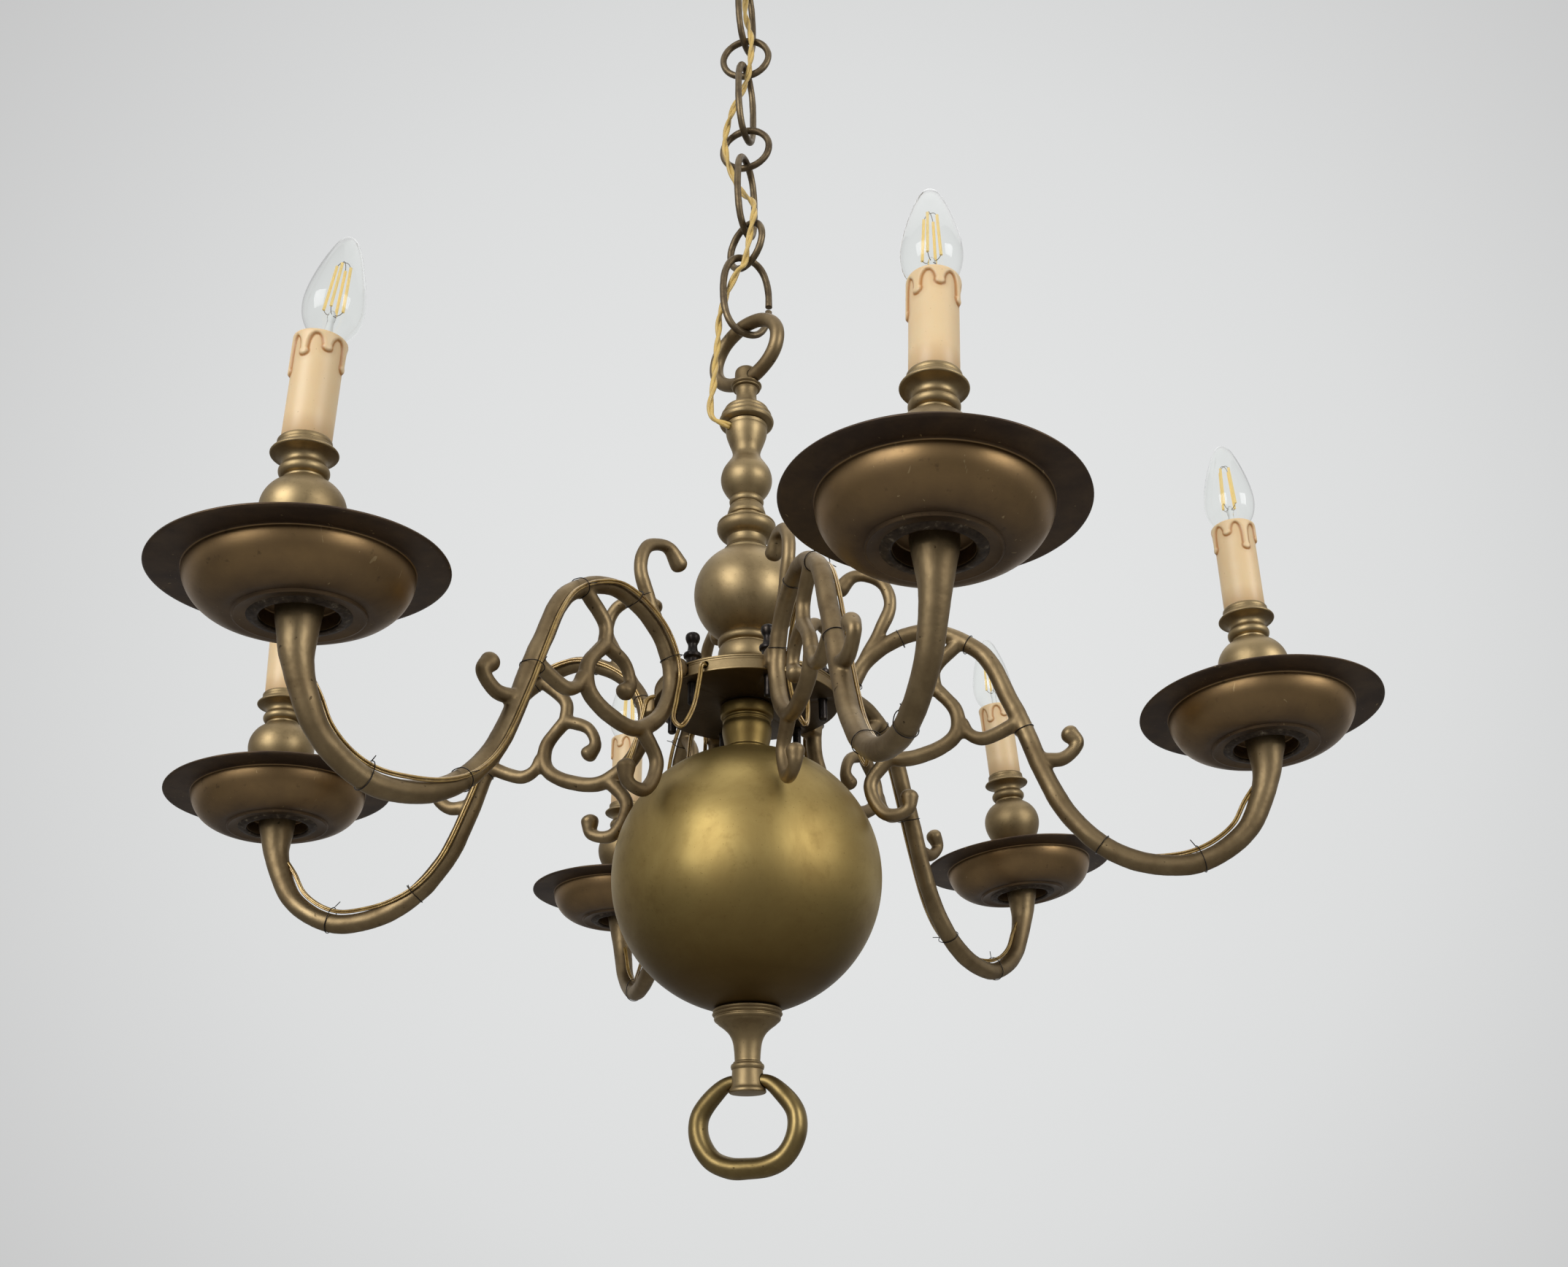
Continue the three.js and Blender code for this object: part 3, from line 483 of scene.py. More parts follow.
def blotches(material, size, detail=5.0, rough=0.6, twist=0.0, axes=(1, 1, 1)):
    """A cloudy pattern whose patches are about as wide as the size, in millimetres."""
    where = add_node(material, "ShaderNodeTexCoord").outputs["Object"]
    if axes != (1, 1, 1):
        where = add_node(material, "ShaderNodeMapping", {"Vector": where, "Scale": axes}).outputs["Vector"]
    return add_node(material, "ShaderNodeTexNoise", {
        "Vector": where, "Scale": 1 / (size * MM), "Detail": detail, "Roughness": rough, "Distortion": twist,
    }).outputs["Fac"]


def ramp(material, value, stops):
    """A colour ramp from (place, hex colour) stops."""
    made = add_node(material, "ShaderNodeValToRGB", {"Fac": value})
    band = made.color_ramp
    while len(band.elements) < len(stops):
        band.elements.new(0.5)
    for element, (place, code) in zip(band.elements, stops):
        element.position = place
        element.color = linear(code)
    return made.outputs["Color"]


def spread(material, value, start, end, out_low=0.0, out_high=1.0):
    """Stretches part of a value's range over another range."""
    return add_node(material, "ShaderNodeMapRange", {
        "Value": value, "From Min": start, "From Max": end, "To Min": out_low, "To Max": out_high,
    }).outputs["Result"]


def mixed(material, share, first, second):
    """Two colours mixed by a share."""
    made = add_node(material, "ShaderNodeMix", data_type="RGBA")
    for socket, value in ((made.inputs[0], share), (made.inputs[6], first), (made.inputs[7], second)):
        if isinstance(value, bpy.types.NodeSocket):
            material.node_tree.links.new(value, socket)
        else:
            socket.default_value = value
    return made.outputs[2]


def patched(material, pattern, start, end, share, first, second):
    """A second colour over a first, up to a share, where a pattern's value goes from the start to the end."""
    return mixed(material, spread(material, pattern, start, end, 0, share), first, second)


def darker(shade, share):
    """A colour times a share, its alpha kept."""
    return (*[c * share for c in shade[:3]], 1.0)


def bumps(material, height, depth, strength):
    """A bump from a height pattern, as deep as the depth in millimetres."""
    return add_node(material, "ShaderNodeBump", {
        "Height": height, "Distance": depth * MM, "Strength": strength,
    }).outputs["Normal"]


def satin_brass(name, base, patina, cover, roughness, grain=1.2, patina_and_painted_shade=()):
    """Turned brass, once polished and now dulled by handling: a cloudy brown patina with small dark spots.

    Each row gives two heights in millimetres, between which the brass darkens toward a deep brown, and how far it
    darkens; some rows stand for thicker patina, others for painted shade.
    """
    material = blank_material(name)
    clouds = blotches(material, 55, detail=7, rough=0.62, twist=0.4)
    stains = blotches(material, 14, detail=6, rough=0.7)
    specks = blotches(material, 1.6, detail=3, rough=0.6)
    metal = patched(material, clouds, 0.38, 0.72, cover, base, patina)
    # Bands darkened by height: thicker patina, and painted shade where a row stands for shade
    for start, end, amount in patina_and_painted_shade:
        where = add_node(material, "ShaderNodeTexCoord").outputs["Object"]
        height = add_node(material, "ShaderNodeSeparateXYZ", {"Vector": where}).outputs["Z"]
        metal = patched(material, height, start * MM, end * MM, amount, metal, darker(patina, 0.55))
    metal = patched(material, stains, 0.55, 0.78, 0.4, metal, darker(patina, 0.8))
    metal = patched(material, specks, 0.66, 0.74, 0.55, metal, darker(patina, 0.5))
    surfaced(material, {
        "Base Color": metal, "Metallic": 1.0,
        "Roughness": spread(material, clouds, 0.3, 0.75, roughness - 0.05, roughness + 0.1),
        "Normal": bumps(material, specks, 0.05 * grain, 0.5),
    })


def patinated_pan(name, base, patina):
    """Spun sheet brass: golden brown on the bowl's wall, darker toward its foot, and nearly black on the rim
    and round the recess; on the rim and the lower wall the darkness is part patina and part painted shade.
    """
    material = blank_material(name)
    shade = add_node(material, "ShaderNodeAttribute", attribute_name="patina").outputs["Fac"]
    clouds = blotches(material, 26, detail=6, rough=0.6, twist=0.2)
    cover = add_node(material, "ShaderNodeMath", {
        0: shade, 1: spread(material, clouds, 0.3, 0.75, -0.16, 0.16),
    }, operation="ADD", use_clamp=True).outputs["Value"]
    metal = mixed(material, cover, base, patina)
    stains = blotches(material, 7, detail=4, rough=0.6)
    metal = patched(material, stains, 0.64, 0.74, 0.45, metal, darker(patina, 0.7))
    scratches = blotches(material, 9, detail=3, rough=0.4, twist=3.5, axes=(1, 1, 0.2))
    metal = patched(material, scratches, 0.735, 0.75, 0.5, metal, linear("B7A27A"))
    surfaced(material, {
        "Base Color": metal, "Metallic": 1.0, "Roughness": spread(material, cover, 0, 1, 0.38, 0.5),
        "Normal": bumps(material, blotches(material, 1.4, detail=3), 0.05, 0.5),
    })


def cast_brass(name, base, patina, roughness):
    """Sand-cast brass left as it came from the mould: matt, brown-olive, with fine pits and rubbed high places."""
    material = blank_material(name)
    clouds = blotches(material, 30, detail=6, rough=0.6, twist=0.3)
    sand = blotches(material, 2.2, detail=5, rough=0.7)
    pits = blotches(material, 3.5, detail=2, rough=0.5)
    metal = patched(material, clouds, 0.36, 0.7, 0.6, base, patina)
    metal = patched(material, sand, 0.58, 0.78, 0.25, metal, darker(base, 1.25))
    metal = patched(material, pits, 0.7, 0.76, 0.75, metal, darker(patina, 0.35))
    height = add_node(material, "ShaderNodeMath", {
        0: spread(material, sand, 0.3, 0.8, 0, 0.4), 1: spread(material, pits, 0.66, 0.76, 1, 0),
    }, operation="ADD").outputs["Value"]
    surfaced(material, {
        "Base Color": metal, "Metallic": 1.0,
        "Roughness": spread(material, clouds, 0.3, 0.7, roughness - 0.06, roughness + 0.1),
        "Normal": bumps(material, height, 0.07, 0.5),
    })


def clouded(name, patches, first, second, grain, surface):
    """A finish of two tones in soft patches, under a fine grain.

    The patches are given by their size in millimetres, detail and roughness, by the values between which the second
    tone comes in, and by its share; the grain is given by its size, detail, depth and strength. A pair for the
    roughness goes with the patches.
    """
    material = blank_material(name)
    size, detail, rough, start, end, share = patches
    clouds = blotches(material, size, detail, rough)
    width, fine, depth, strength = grain
    values = {
        "Base Color": patched(material, clouds, start, end, share, first, second),
        "Normal": bumps(material, blotches(material, width, fine), depth, strength), **surface,
    }
    if isinstance(values["Roughness"], tuple):
        values["Roughness"] = spread(material, clouds, 0.3, 0.7, *values["Roughness"])
    surfaced(material, values)


def candle_plastic(name, base, stain):
    """Moulded plastic made to look like wax: soft satin, with a brown wash that stays along the drips."""
    material = blank_material(name)
    wash = add_node(material, "ShaderNodeAttribute", attribute_name="drip_edge").outputs["Fac"]
    clouds = blotches(material, 18, detail=4)
    tone = patched(material, clouds, 0.35, 0.7, 0.35, base, linear("E2BC8B"))
    tone = mixed(material, wash, tone, stain)
    flecks = blotches(material, 1.3, detail=1)
    tone = patched(material, flecks, 0.76, 0.8, 0.6, tone, linear("9C7A4A"))
    surfaced(material, {
        "Base Color": tone, "Roughness": 0.42, "IOR": 1.46,
        "Subsurface Weight": 0.12, "Subsurface Radius": (1.0, 0.5, 0.25), "Subsurface Scale": 1.5 * MM,
        "Normal": bumps(material, clouds, 0.1, 0.3),
    })


def clear_glass(name):
    """Thin clear blown glass: almost unseen but for its rim and the reflections."""
    material = blank_material(name)
    surfaced(material, {
        "Base Color": linear("FEFFFE"), "Transmission Weight": 1.0, "Roughness": 0.0, "IOR": 1.33,
        "Normal": bumps(material, blotches(material, 30, detail=1), 0.01, 0.05),
    })


def worn_solder(name):
    """Rough soft solder and old polish, light grey-brown, round the recess of a pan."""
    material = blank_material(name)
    crumbs = blotches(material, 5.0, detail=7, rough=0.72)
    tone = ramp(material, crumbs, [(0.36, "2E251D"), (0.56, "453A2E"), (0.64, "6E6454"), (0.74, "A79E8E")])
    surfaced(material, {
        "Base Color": tone, "Metallic": 0.8, "Roughness": 0.55,
        "Normal": bumps(material, crumbs, 0.25, 0.6),
    })


def finishes():
    """Every finish, made once from the panel's colours.

    The main ball is darker brown at its neck and at its foot, the foot's darkening part patina and part painted shade,
    and the drum's underside is painted shade, nearly black.
    """
    wanted = bpy.context.scene.chandelier_colours
    if "Satin brass, turned" not in bpy.data.materials:
        brass, patina = tuple(wanted.brass), tuple(wanted.patina)
        foot, under = low("main_ball"), low("arm_plate")
        satin_brass("Satin brass, turned", brass, patina, 0.62, 0.48)
        # The ball's foot darkens as part patina, part painted shade of a dark floor below; its neck and collar darken
        # too
        satin_brass("Satin brass, spun ball", linear("A8925A"), linear("6E562E"), 0.5, 0.46, 0.8,
                    patina_and_painted_shade=[(foot + 84, foot + 18, 0.92), (foot + 180, foot + 184, 0.55)])
        # Painted shade: the drum's underside darkened nearly to black
        satin_brass("Satin brass, drum", brass, patina, 0.62, 0.48,
                    patina_and_painted_shade=[(under + 0.5, under + 0.1, 0.8)])
        patinated_pan("Patinated brass, spun pan", linear("8E7450"), linear("493D34"))
        cast_brass("Cast brass, bare", tuple(wanted.cast), patina, 0.5)
        cast_brass("Cast brass, ring", linear("84724A"), linear("46371F"), 0.42)
        candle_plastic("Candle plastic", tuple(wanted.wax), tuple(wanted.drip))
        clear_glass("Clear blown glass")
        worn_solder("Worn solder")
        # Wire bent cold and oiled: dark grey-brown, with a rusty tinge in the pores
        clouded("Iron wire, oiled", (12, 6, 0.65, 0.4, 0.7, 0.7), tuple(wanted.iron), linear("3B2E24"),
                (1.1, 3, 0.08, 0.5), {"Metallic": 0.9, "Roughness": (0.38, 0.6)})
        # Steel blackened in oil: near black, with worn, lighter ridges
        clouded("Blackened steel", (6, 5, 0.6, 0.5, 0.75, 0.6), linear("262220"), linear("51483F"),
                (1.0, 2, 0.05, 0.4), {"Metallic": 0.85, "Roughness": 0.36})
        clouded("Glazed porcelain", (9, 5, 0.6, 0.4, 0.7, 0.5), linear("EFECE4"), linear("DDD8CC"),
                (5, 5, 0.05, 0.2), {"Roughness": 0.22, "IOR": 1.5})
        # Yellow resin on the lamp's glass strips, unlit, with a faint painted glow
        clouded("Phosphor strip, painted glow", (0.8, 2, 0.6, 0.3, 0.7, 1), linear("F8D684"), linear("FFE7A6"), (0.8, 2, 0.05, 0.3),
                {"Roughness": 0.5, "Emission Color": linear("FFDF8C"), "Emission Strength": 0.35})
        for name, code, roughness in (("Nickel wire", "B8B4AC", 0.25), ("Lamp cap brass", "C9A45C", 0.3)):
            clouded(name, (3, 5, 0.6, 0.4, 0.7, 0.4), linear(code), darker(linear(code), 0.6),
                    (0.7, 5, 0.03, 0.3), {"Metallic": 1.0, "Roughness": roughness})
        # Soft plastic insulation with a silky gloss, a little dirty between the strands
        clouded("Twisted cord", (10, 5, 0.6, 0.4, 0.75, 0.55), tuple(wanted.cord), linear("9C7D3A"),
                (1.2, 5, 0.1, 0.4), {"Roughness": 0.38, "IOR": 1.5, "Sheen Weight": 0.15})
        # Clear plastic over tinned copper: the gold of the wire shines through a glossy skin
        clouded("Clear flex", (7, 5, 0.6, 0.35, 0.7, 1), tuple(wanted.flex), linear("8A6A34"), (0.9, 5, 0.04, 0.3),
                {"Metallic": 0.45, "Roughness": 0.26, "Coat Weight": 0.8, "Coat Roughness": 0.08})
    return bpy.data.materials


# The stage

class ChandelierStage(bpy.types.Operator):
    """Sets the camera at the photograph's angle, a pale floor and surroundings, and plain soft lamps"""

    bl_idname = "chandelier.stage"
    bl_label = "Camera, floor and light"

    def execute(self, context):
        self.camera(context.scene)
        self.floor()
        self.surroundings(context.scene)
        self.lamps()
        context.scene.view_settings.view_transform = "Standard"
        return {"FINISHED"}

    def camera(self, scene):
        """Stands where the photograph was taken, with its lens and with its axis off the picture's middle."""
        width, height, focal, axis_x, axis_y = 2148, 1736, 2130.9, 1127.7, 989.8
        place = (0, -1.01201, -1.19378)
        yaw, pitch, roll = (math.radians(angle) for angle in (3.048, 22.944, -1.286))
        ahead = Vector((math.sin(yaw) * math.cos(pitch), math.cos(yaw) * math.cos(pitch), math.sin(pitch)))
        right = Vector((math.cos(yaw), -math.sin(yaw), 0))
        up = right.cross(ahead)
        across = right * math.cos(roll) + up * math.sin(roll)
        upward = up * math.cos(roll) - right * math.sin(roll)
        data = bpy.data.cameras.new("Camera")
        data.sensor_width = 36
        data.lens = focal * data.sensor_width / width
        data.shift_x = (width / 2 - axis_x) / width
        data.shift_y = (axis_y - height / 2) / width
        data.clip_end = 50
        camera = bpy.data.objects.new("Camera", data)
        scene.collection.objects.link(camera)
        turned_to = Matrix((across, upward, -ahead)).transposed().to_4x4()
        camera.matrix_world = Matrix.Translation(place) @ turned_to
        scene.camera = camera

    def floor(self):
        """A round pale floor, 1.9 m below the back of the rose."""
        deselect()
        bpy.ops.mesh.primitive_circle_add(vertices=96, radius=6, fill_type="NGON")
        floor = bpy.context.object
        floor.name = "floor"
        moved(floor, raise_by(-1900))
        material = blank_material("Pale matt floor")
        clouds = blotches(material, 400)
        tone = patched(material, clouds, 0.3, 0.7, 1, linear("B4B2AF"), linear("AFADAA"))
        surfaced(material, {"Base Color": tone, "Roughness": 0.8})
        floor.data.materials.append(material)

    def surroundings(self, scene):
        """A plain pale room, brightest behind the object, that the eye, the metal and the glass see alike."""
        world = bpy.data.worlds.new("Room")
        scene.world = world
        world.use_nodes = True
        world.node_tree.nodes.clear()
        rays = add_node(world, "ShaderNodeLightPath")
        seen = rays.outputs["Is Camera Ray"]
        for kind in ("Is Transmission Ray", "Is Glossy Ray"):
            both = {0: seen, 1: rays.outputs[kind]}
            seen = add_node(world, "ShaderNodeMath", both, operation="MAXIMUM").outputs["Value"]
        way = add_node(world, "ShaderNodeTexCoord").outputs["Generated"]
        toward = {0: way, 1: (0.05, 0.91, 0.41)}
        ahead = add_node(world, "ShaderNodeVectorMath", toward, operation="DOT_PRODUCT").outputs["Value"]
        upward = add_node(world, "ShaderNodeSeparateXYZ", {"Vector": way}).outputs["Z"]
        wall = ramp(world, ahead, [(0.0, "BDBDBE"), (0.8, "C2C2C2"), (0.93, "DCDDDD"), (1.0, "E4E5E5")])
        wall = mixed(world, spread(world, upward, 0.0, -0.35), wall, linear("6F6B67"))
        shade = mixed(world, seen, linear("8B8C8E"), wall)
        back = add_node(world, "ShaderNodeBackground", {"Color": shade, "Strength": 1.0})
        add_node(world, "ShaderNodeOutputWorld", {"Surface": back.outputs["Background"]})

    def lamps(self):
        """One broad window light from the front left, a weaker one from the right and one from above."""
        aim = Vector((0, 0, -0.8))
        for name, place, size, watts in (
            ("Window", (-1.9, -2.5, 0.2), 1.9, 25),
            ("Second window", (2.5, -2.0, 0.1), 1.5, 15),
            ("Skylight", (0.2, 0.3, 1.7), 3.4, 14),
        ):
            data = bpy.data.lights.new(name, "AREA")
            data.shape = "SQUARE"
            data.size = size
            data.energy = watts
            data.spread = math.radians(100)
            light = bpy.data.objects.new(name, data)
            bpy.context.scene.collection.objects.link(light)
            light.location = place
            light.visible_transmission = False
            light.rotation_euler = (aim - Vector(place)).to_track_quat("-Z", "Y").to_euler()


# The chain from the hook down: each piece's CAD node, its body, whether it is a long link, its turn in degrees and
# the height of its open joint against its middle in millimetres, if it has one

CHAIN = [
    ("chain_link_7", "link_7", True, 72, None),
    ("chain_link_6", "link_6", False, -12, None),
    ("chain_link_5", "link_5", True, 72, None),
    ("chain_link_4", "link_4", False, -15, None),
    ("chain_link_3", "link_3", True, 70, -15.3),
    ("chain_link_2", "link_2", False, -50, None),
    ("chain_link_1", "link_1", True, 25, -6.6),
]

# The cord's route from the rose down, and the hole in the baluster that it enters: its angle from the front and how
# far it lies below the baluster's top

CORD_ROUTE = [
    (5.5, -6, -38.5), (2, -11.5, -66), (-0.5, -5.5, -94), (4.5, -9, -128.5), (4.5, -8, -147), (0.5, -8, -177.5),
    (-10.5, -6.5, -206.5), (-17, -5.5, -235), (-17, -5, -250.5), (-9, -4, -282.5), (-2, -5, -296), (4, -9.5, -306),
    (7, -13.5, -317.5), (5.5, -15.5, -330.5), (2, -13.5, -352), (-2, -9, -371), (-6.5, -8, -376.5), (-15, -3, -395),
    (-21, -1, -416), (-22, -1.5, -437), (-24, -3.5, -463), (-25, -9, -485), (-27.5, -11, -509), (-25, -12, -519),
]
CORD_HOLE = -57
CORD_HOLE_DROP = 5.2


class ChandelierCord(bpy.types.Operator):
    """Lays the twisted supply cord from the rose through the chain to the stem"""

    bl_idname = "chandelier.supply_cord"
    bl_label = "Supply cord"

    def execute(self, context):
        sizes = context.scene.chandelier_sizes
        hole = high("upper_baluster") - CORD_HOLE_DROP
        first = Vector((*CORD_ROUTE[0][:2], -3.5))
        ends = [facing(CORD_HOLE, 19.9, hole), facing(CORD_HOLE, 11.5, hole)]
        route = through([first, first.lerp(Vector(CORD_ROUTE[0]), 0.5), *CORD_ROUTE, *ends], 20)
        far = [0.0]
        for before, after in zip(route, route[1:]):
            far.append(far[-1] + (after - before).length)
        bodies = ["rose", *(link[1] for link in CHAIN), "hanging_ring", "chandelier"]
        joints = [hung_at(body) for body in bodies[1:]]
        halfway = [(upper + lower) / 2 for upper, lower in zip(joints, joints[1:])]
        splits = [0, *(self.nearest(route, height) for height in halfway), len(route) - 1]
        for number, (start, end) in enumerate(zip(splits, splits[1:])):
            piece = self.strands(f"supply_cord_{number + 1}", route, far, start, end, sizes)
            dressed(piece, "Twisted cord", ["supply_cord"], body=None, angle=80)
            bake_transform(piece)
        return {"FINISHED"}

    def nearest(self, route, height):
        """The place along the route that is nearest to a height."""
        return min(range(len(route)), key=lambda i: abs(route[i].z - height))

    def strands(self, name, route, far, start, end, sizes):
        """Two strands wound round the route; the turn goes on from stretch to stretch."""
        strand = 0.56 * sizes.cord_radius / MM
        offset = sizes.cord_radius / MM - strand
        made = []
        for side in (0, math.pi):
            line = []
            for i in range(start, end + 1):
                angle = 2 * math.pi * far[i] * MM / sizes.cord_lay + side
                away = round_about(direction(route, i), (0, 1, 0), angle)
                line.append((*(route[i] + away * offset), strand))
            made.append(rod(name, line, 12))
        return joined(name, made)


class ChandelierRose(bpy.types.Operator):
    """Makes the ceiling rose and its hook"""

    bl_idname = "chandelier.ceiling_rose"
    bl_label = "Ceiling rose"

    def execute(self, context):
        rose = turned("ceiling_rose_cup", [
            (0, 0), (51.2, 0), (52, -0.8), (52, -2.6), (51, -3.4),
            (49.6, -5, SOFT), (46.4, -15, SOFT), (38, -25.5, SOFT), (26, -32.5, SOFT), (16.5, -35.6, SOFT),
            (14, -37.2), (13.2, -38), (12.2, -37.6), (12, -35.8), (24, -31, SOFT), (36, -24, SOFT),
            (44.4, -14.5, SOFT), (48, -5), (48, -3), (0, -3)], 96)
        soften(rose, 0.5)
        dressed(rose, "Satin brass, turned", ["ceiling_rose"], body="rose")
        bend_radius, wire_radius = 9.5, 3
        centre = bend_radius + hung_at("link_7")
        bend = [(x, 0, z, wire_radius) for x, z in arc((0, centre), bend_radius, 60, -200, 40)]
        shank = [(0, 0, height, wire_radius) for height in (-1.5, -20, centre + 15.5)]
        hook = rod("ceiling_hook", rounded_ends(through([*shank, bend[0]], 8)[:-1] + bend), 16)
        moved(hook, turn(-15))
        dressed(hook, "Iron wire, oiled", ["ceiling_rose"], body="rose", angle=60)
        return {"FINISHED"}


class ChandelierChain(bpy.types.Operator):
    """Bends the chain's long links and rings from wire"""

    bl_idname = "chandelier.chain"
    bl_label = "Chain"

    def execute(self, context):
        wire = context.scene.chandelier_sizes.chain_radius / MM
        for number, (node, body, long, turned_by, gap) in enumerate(CHAIN):
            # A thicker wire grows outward, since its inner face stays where the next link needs it
            half = (high(node) - low(node)) / 2 - CHAIN_WIRE + (wire - CHAIN_WIRE)
            half_width, squareness = (20, 2.4) if long else (half, 2.0)
            line = self.loop(half_width, half, squareness, gap, wire)
            link = rod(f"{node}_wire", line, 20, closed=gap is None)
            roughen(link, 0.22, 9, number)
            roughen(link, 0.1, 2.5, number)
            moved(link, raise_by(middle(node)) @ turn(turned_by))
            if gap is not None:
                soften(link, 0.3)
            dressed(link, "Iron wire, oiled", [node], body=body, angle=60)
        return {"FINISHED"}

    def loop(self, half_width, half_height, squareness, gap, wire):
        """Points round an upright oval, closed, or open at a joint whose height is given."""
        def place(angle):
            c, s = math.cos(angle), math.sin(angle)
            x = half_width * math.copysign(abs(c) ** (2 / squareness), c)
            z = half_height * math.copysign(abs(s) ** (2 / squareness), s)
            return (x, 0, z, wire)
        steps = 96
        if gap is None:
            return [place(2 * math.pi * i / steps) for i in range(steps)]
        joint = math.asin(-(abs(gap) / half_height) ** (squareness / 2))
        opening = 2.0 / half_height
        start, end = joint + opening, joint - opening + 2 * math.pi
        return [place(start + (end - start) * i / steps) for i in range(steps + 1)]


class ChandelierSuspensionRing(bpy.types.Operator):
    """Makes the thick ring between the chain and the stem"""

    bl_idname = "chandelier.suspension_ring"
    bl_label = "Suspension ring"

    def execute(self, context):
        half_width, half_height, wire, steps = 33.6, 26, 5.5, 112
        line = []
        for i in range(steps):
            angle = 2 * math.pi * i / steps
            line.append((half_width * math.cos(angle), 0, half_height * math.sin(angle), wire))
        ring = rod("suspension_ring_cast", line, 24, closed=True)
        roughen(ring, 0.3, 14, 3)
        moved(ring, raise_by(middle("suspension_ring")) @ turn(-45))
        dressed(ring, "Cast brass, bare", ["suspension_ring"], body="hanging_ring", angle=60)
        return {"FINISHED"}


class ChandelierStem(bpy.types.Operator):
    """Turns the top finial on its rod, the baluster and the upper ball"""

    bl_idname = "chandelier.stem"
    bl_label = "Stem"

    def execute(self, context):
        self.top_finial()
        self.baluster()
        self.upper_ball()
        return {"FINISHED"}

    def top_finial(self):
        """The finial above the baluster, with its bored lug, and the end of the tie rod."""
        lug, rod_end = hung_at("chandelier"), low("stem_rod")
        finial = turned("top_finial", [
            *raised(lug, [
                (0, 10.2), (5.0, 10.0, SOFT), (7.4, 9, SOFT), (8.6, 7.0, SOFT), (8.9, 4), (8.9, -3.8), (9.8, -4.2),
                (11.4, -4.7, SOFT), (11.9, -5.8, SOFT), (11.2, -6.8), (10.4, -7.1), (10.9, -7.7, SOFT),
                (10.6, -8.6, SOFT), (8.9, -9.1), (8.1, -11, SOFT), (7.8, -15.5, SOFT), (8.4, -20, SOFT),
                (10.4, -24, SOFT), (15.0, -27.2), (16.4, -28.0, SOFT), (17.2, -29.6, SOFT), (16.8, -31.2),
                (16.2, -31.8), (18.4, -32.2, SOFT), (19.4, -33.8, SOFT), (19.0, -35.8), (18.4, -36.6),
                (20.2, -37.0, SOFT), (21.0, -38.9, SOFT), (20.4, -41.0), (18.8, -42), (3, -42)]),
            (3, rod_end + 0.8), (2.2, rod_end), (0, rod_end)], 72)
        soften(finial, 0.25)
        along = facing(45, 20)
        cut(finial, cylinder(6.1, (*(-along).xy, lug), (*along.xy, lug), 40))
        dressed(finial, "Satin brass, turned", ["stem_rod"])

    def baluster(self):
        """The baluster, with the hole that the cord enters."""
        top = high("upper_baluster")
        baluster = turned("baluster_turning", raised(top, [
            (8.2, 0), (15.5, 0), (16.1, -0.8, SOFT), (15.9, -2.2), (15.7, -3.0), (15.8, -5, SOFT), (15.2, -9.5, SOFT),
            (13.2, -16, SOFT), (11.1, -22, SOFT), (10.5, -26, SOFT), (11.5, -30.2, SOFT), (14.4, -35, SOFT),
            (17.8, -41, SOFT), (19.3, -47.5, SOFT), (18.7, -53.2, SOFT), (16.2, -58.8, SOFT), (13.0, -63.2, SOFT),
            (11.4, -65.2), (12.2, -65.5, SOFT), (12.9, -67.6, SOFT), (12.3, -70.0, SOFT), (11.3, -70.9),
            (11.5, -71.8), (12.6, -72.4, SOFT), (13.4, -75.2, SOFT), (14.3, -78.4, SOFT), (13.9, -80.4),
            (12.9, -81.2), (12.7, -84.4), (20.4, -86.9), (21.4, -87.3, SOFT), (21.7, -88.3, SOFT), (21.2, -89.2),
            (21.9, -90.0, SOFT), (21.6, -93.6, SOFT), (19.2, -97.2, SOFT), (15.4, -99.2), (14.5, -100.0),
            (14.2, -103, SOFT), (14.8, -106.4, SOFT), (16.6, -109.0, SOFT), (17.5, -110.2), (8.2, -110.2),
            (8.2, 0)]), 96)
        soften(baluster, 0.2)
        height = top - CORD_HOLE_DROP
        cut(baluster, cylinder(3.4, facing(CORD_HOLE, 6, height), facing(CORD_HOLE, 19, height), 32))
        dressed(baluster, "Satin brass, turned", ["upper_baluster"])

    def upper_ball(self):
        """The small ball with the mouldings under it."""
        top, end, size = high("upper_ball"), low("upper_ball"), 38.3
        centre = top - 36.1
        crown, neck = math.degrees(math.acos(17.5 / size)), -math.degrees(math.acos(17.6 / size))
        head = centre + size * math.sin(math.radians(neck))
        ball = turned("upper_ball_turning", [
            (0, top), (17.5, top), *arc((0, centre), size, crown, neck, 44),
            *raised(head, [
                (18.4, -0.8), (20.0, -1.8, SOFT), (21.0, -4.2, SOFT), (20.2, -6.8, SOFT), (18.4, -8), (18.3, -8.8),
                (19.6, -9.6, SOFT), (20.6, -13, SOFT), (20.7, -17.5, SOFT), (19.6, -21.4, SOFT), (18.3, -22.4),
                (18.4, -23.4), (19.8, -24.6, SOFT), (20.5, -28, SOFT)]),
            (20.5, end + 1), (20.2, end), (0, end)], 112)
        soften(ball, 0.2)
        dressed(ball, "Satin brass, turned", ["upper_ball"])


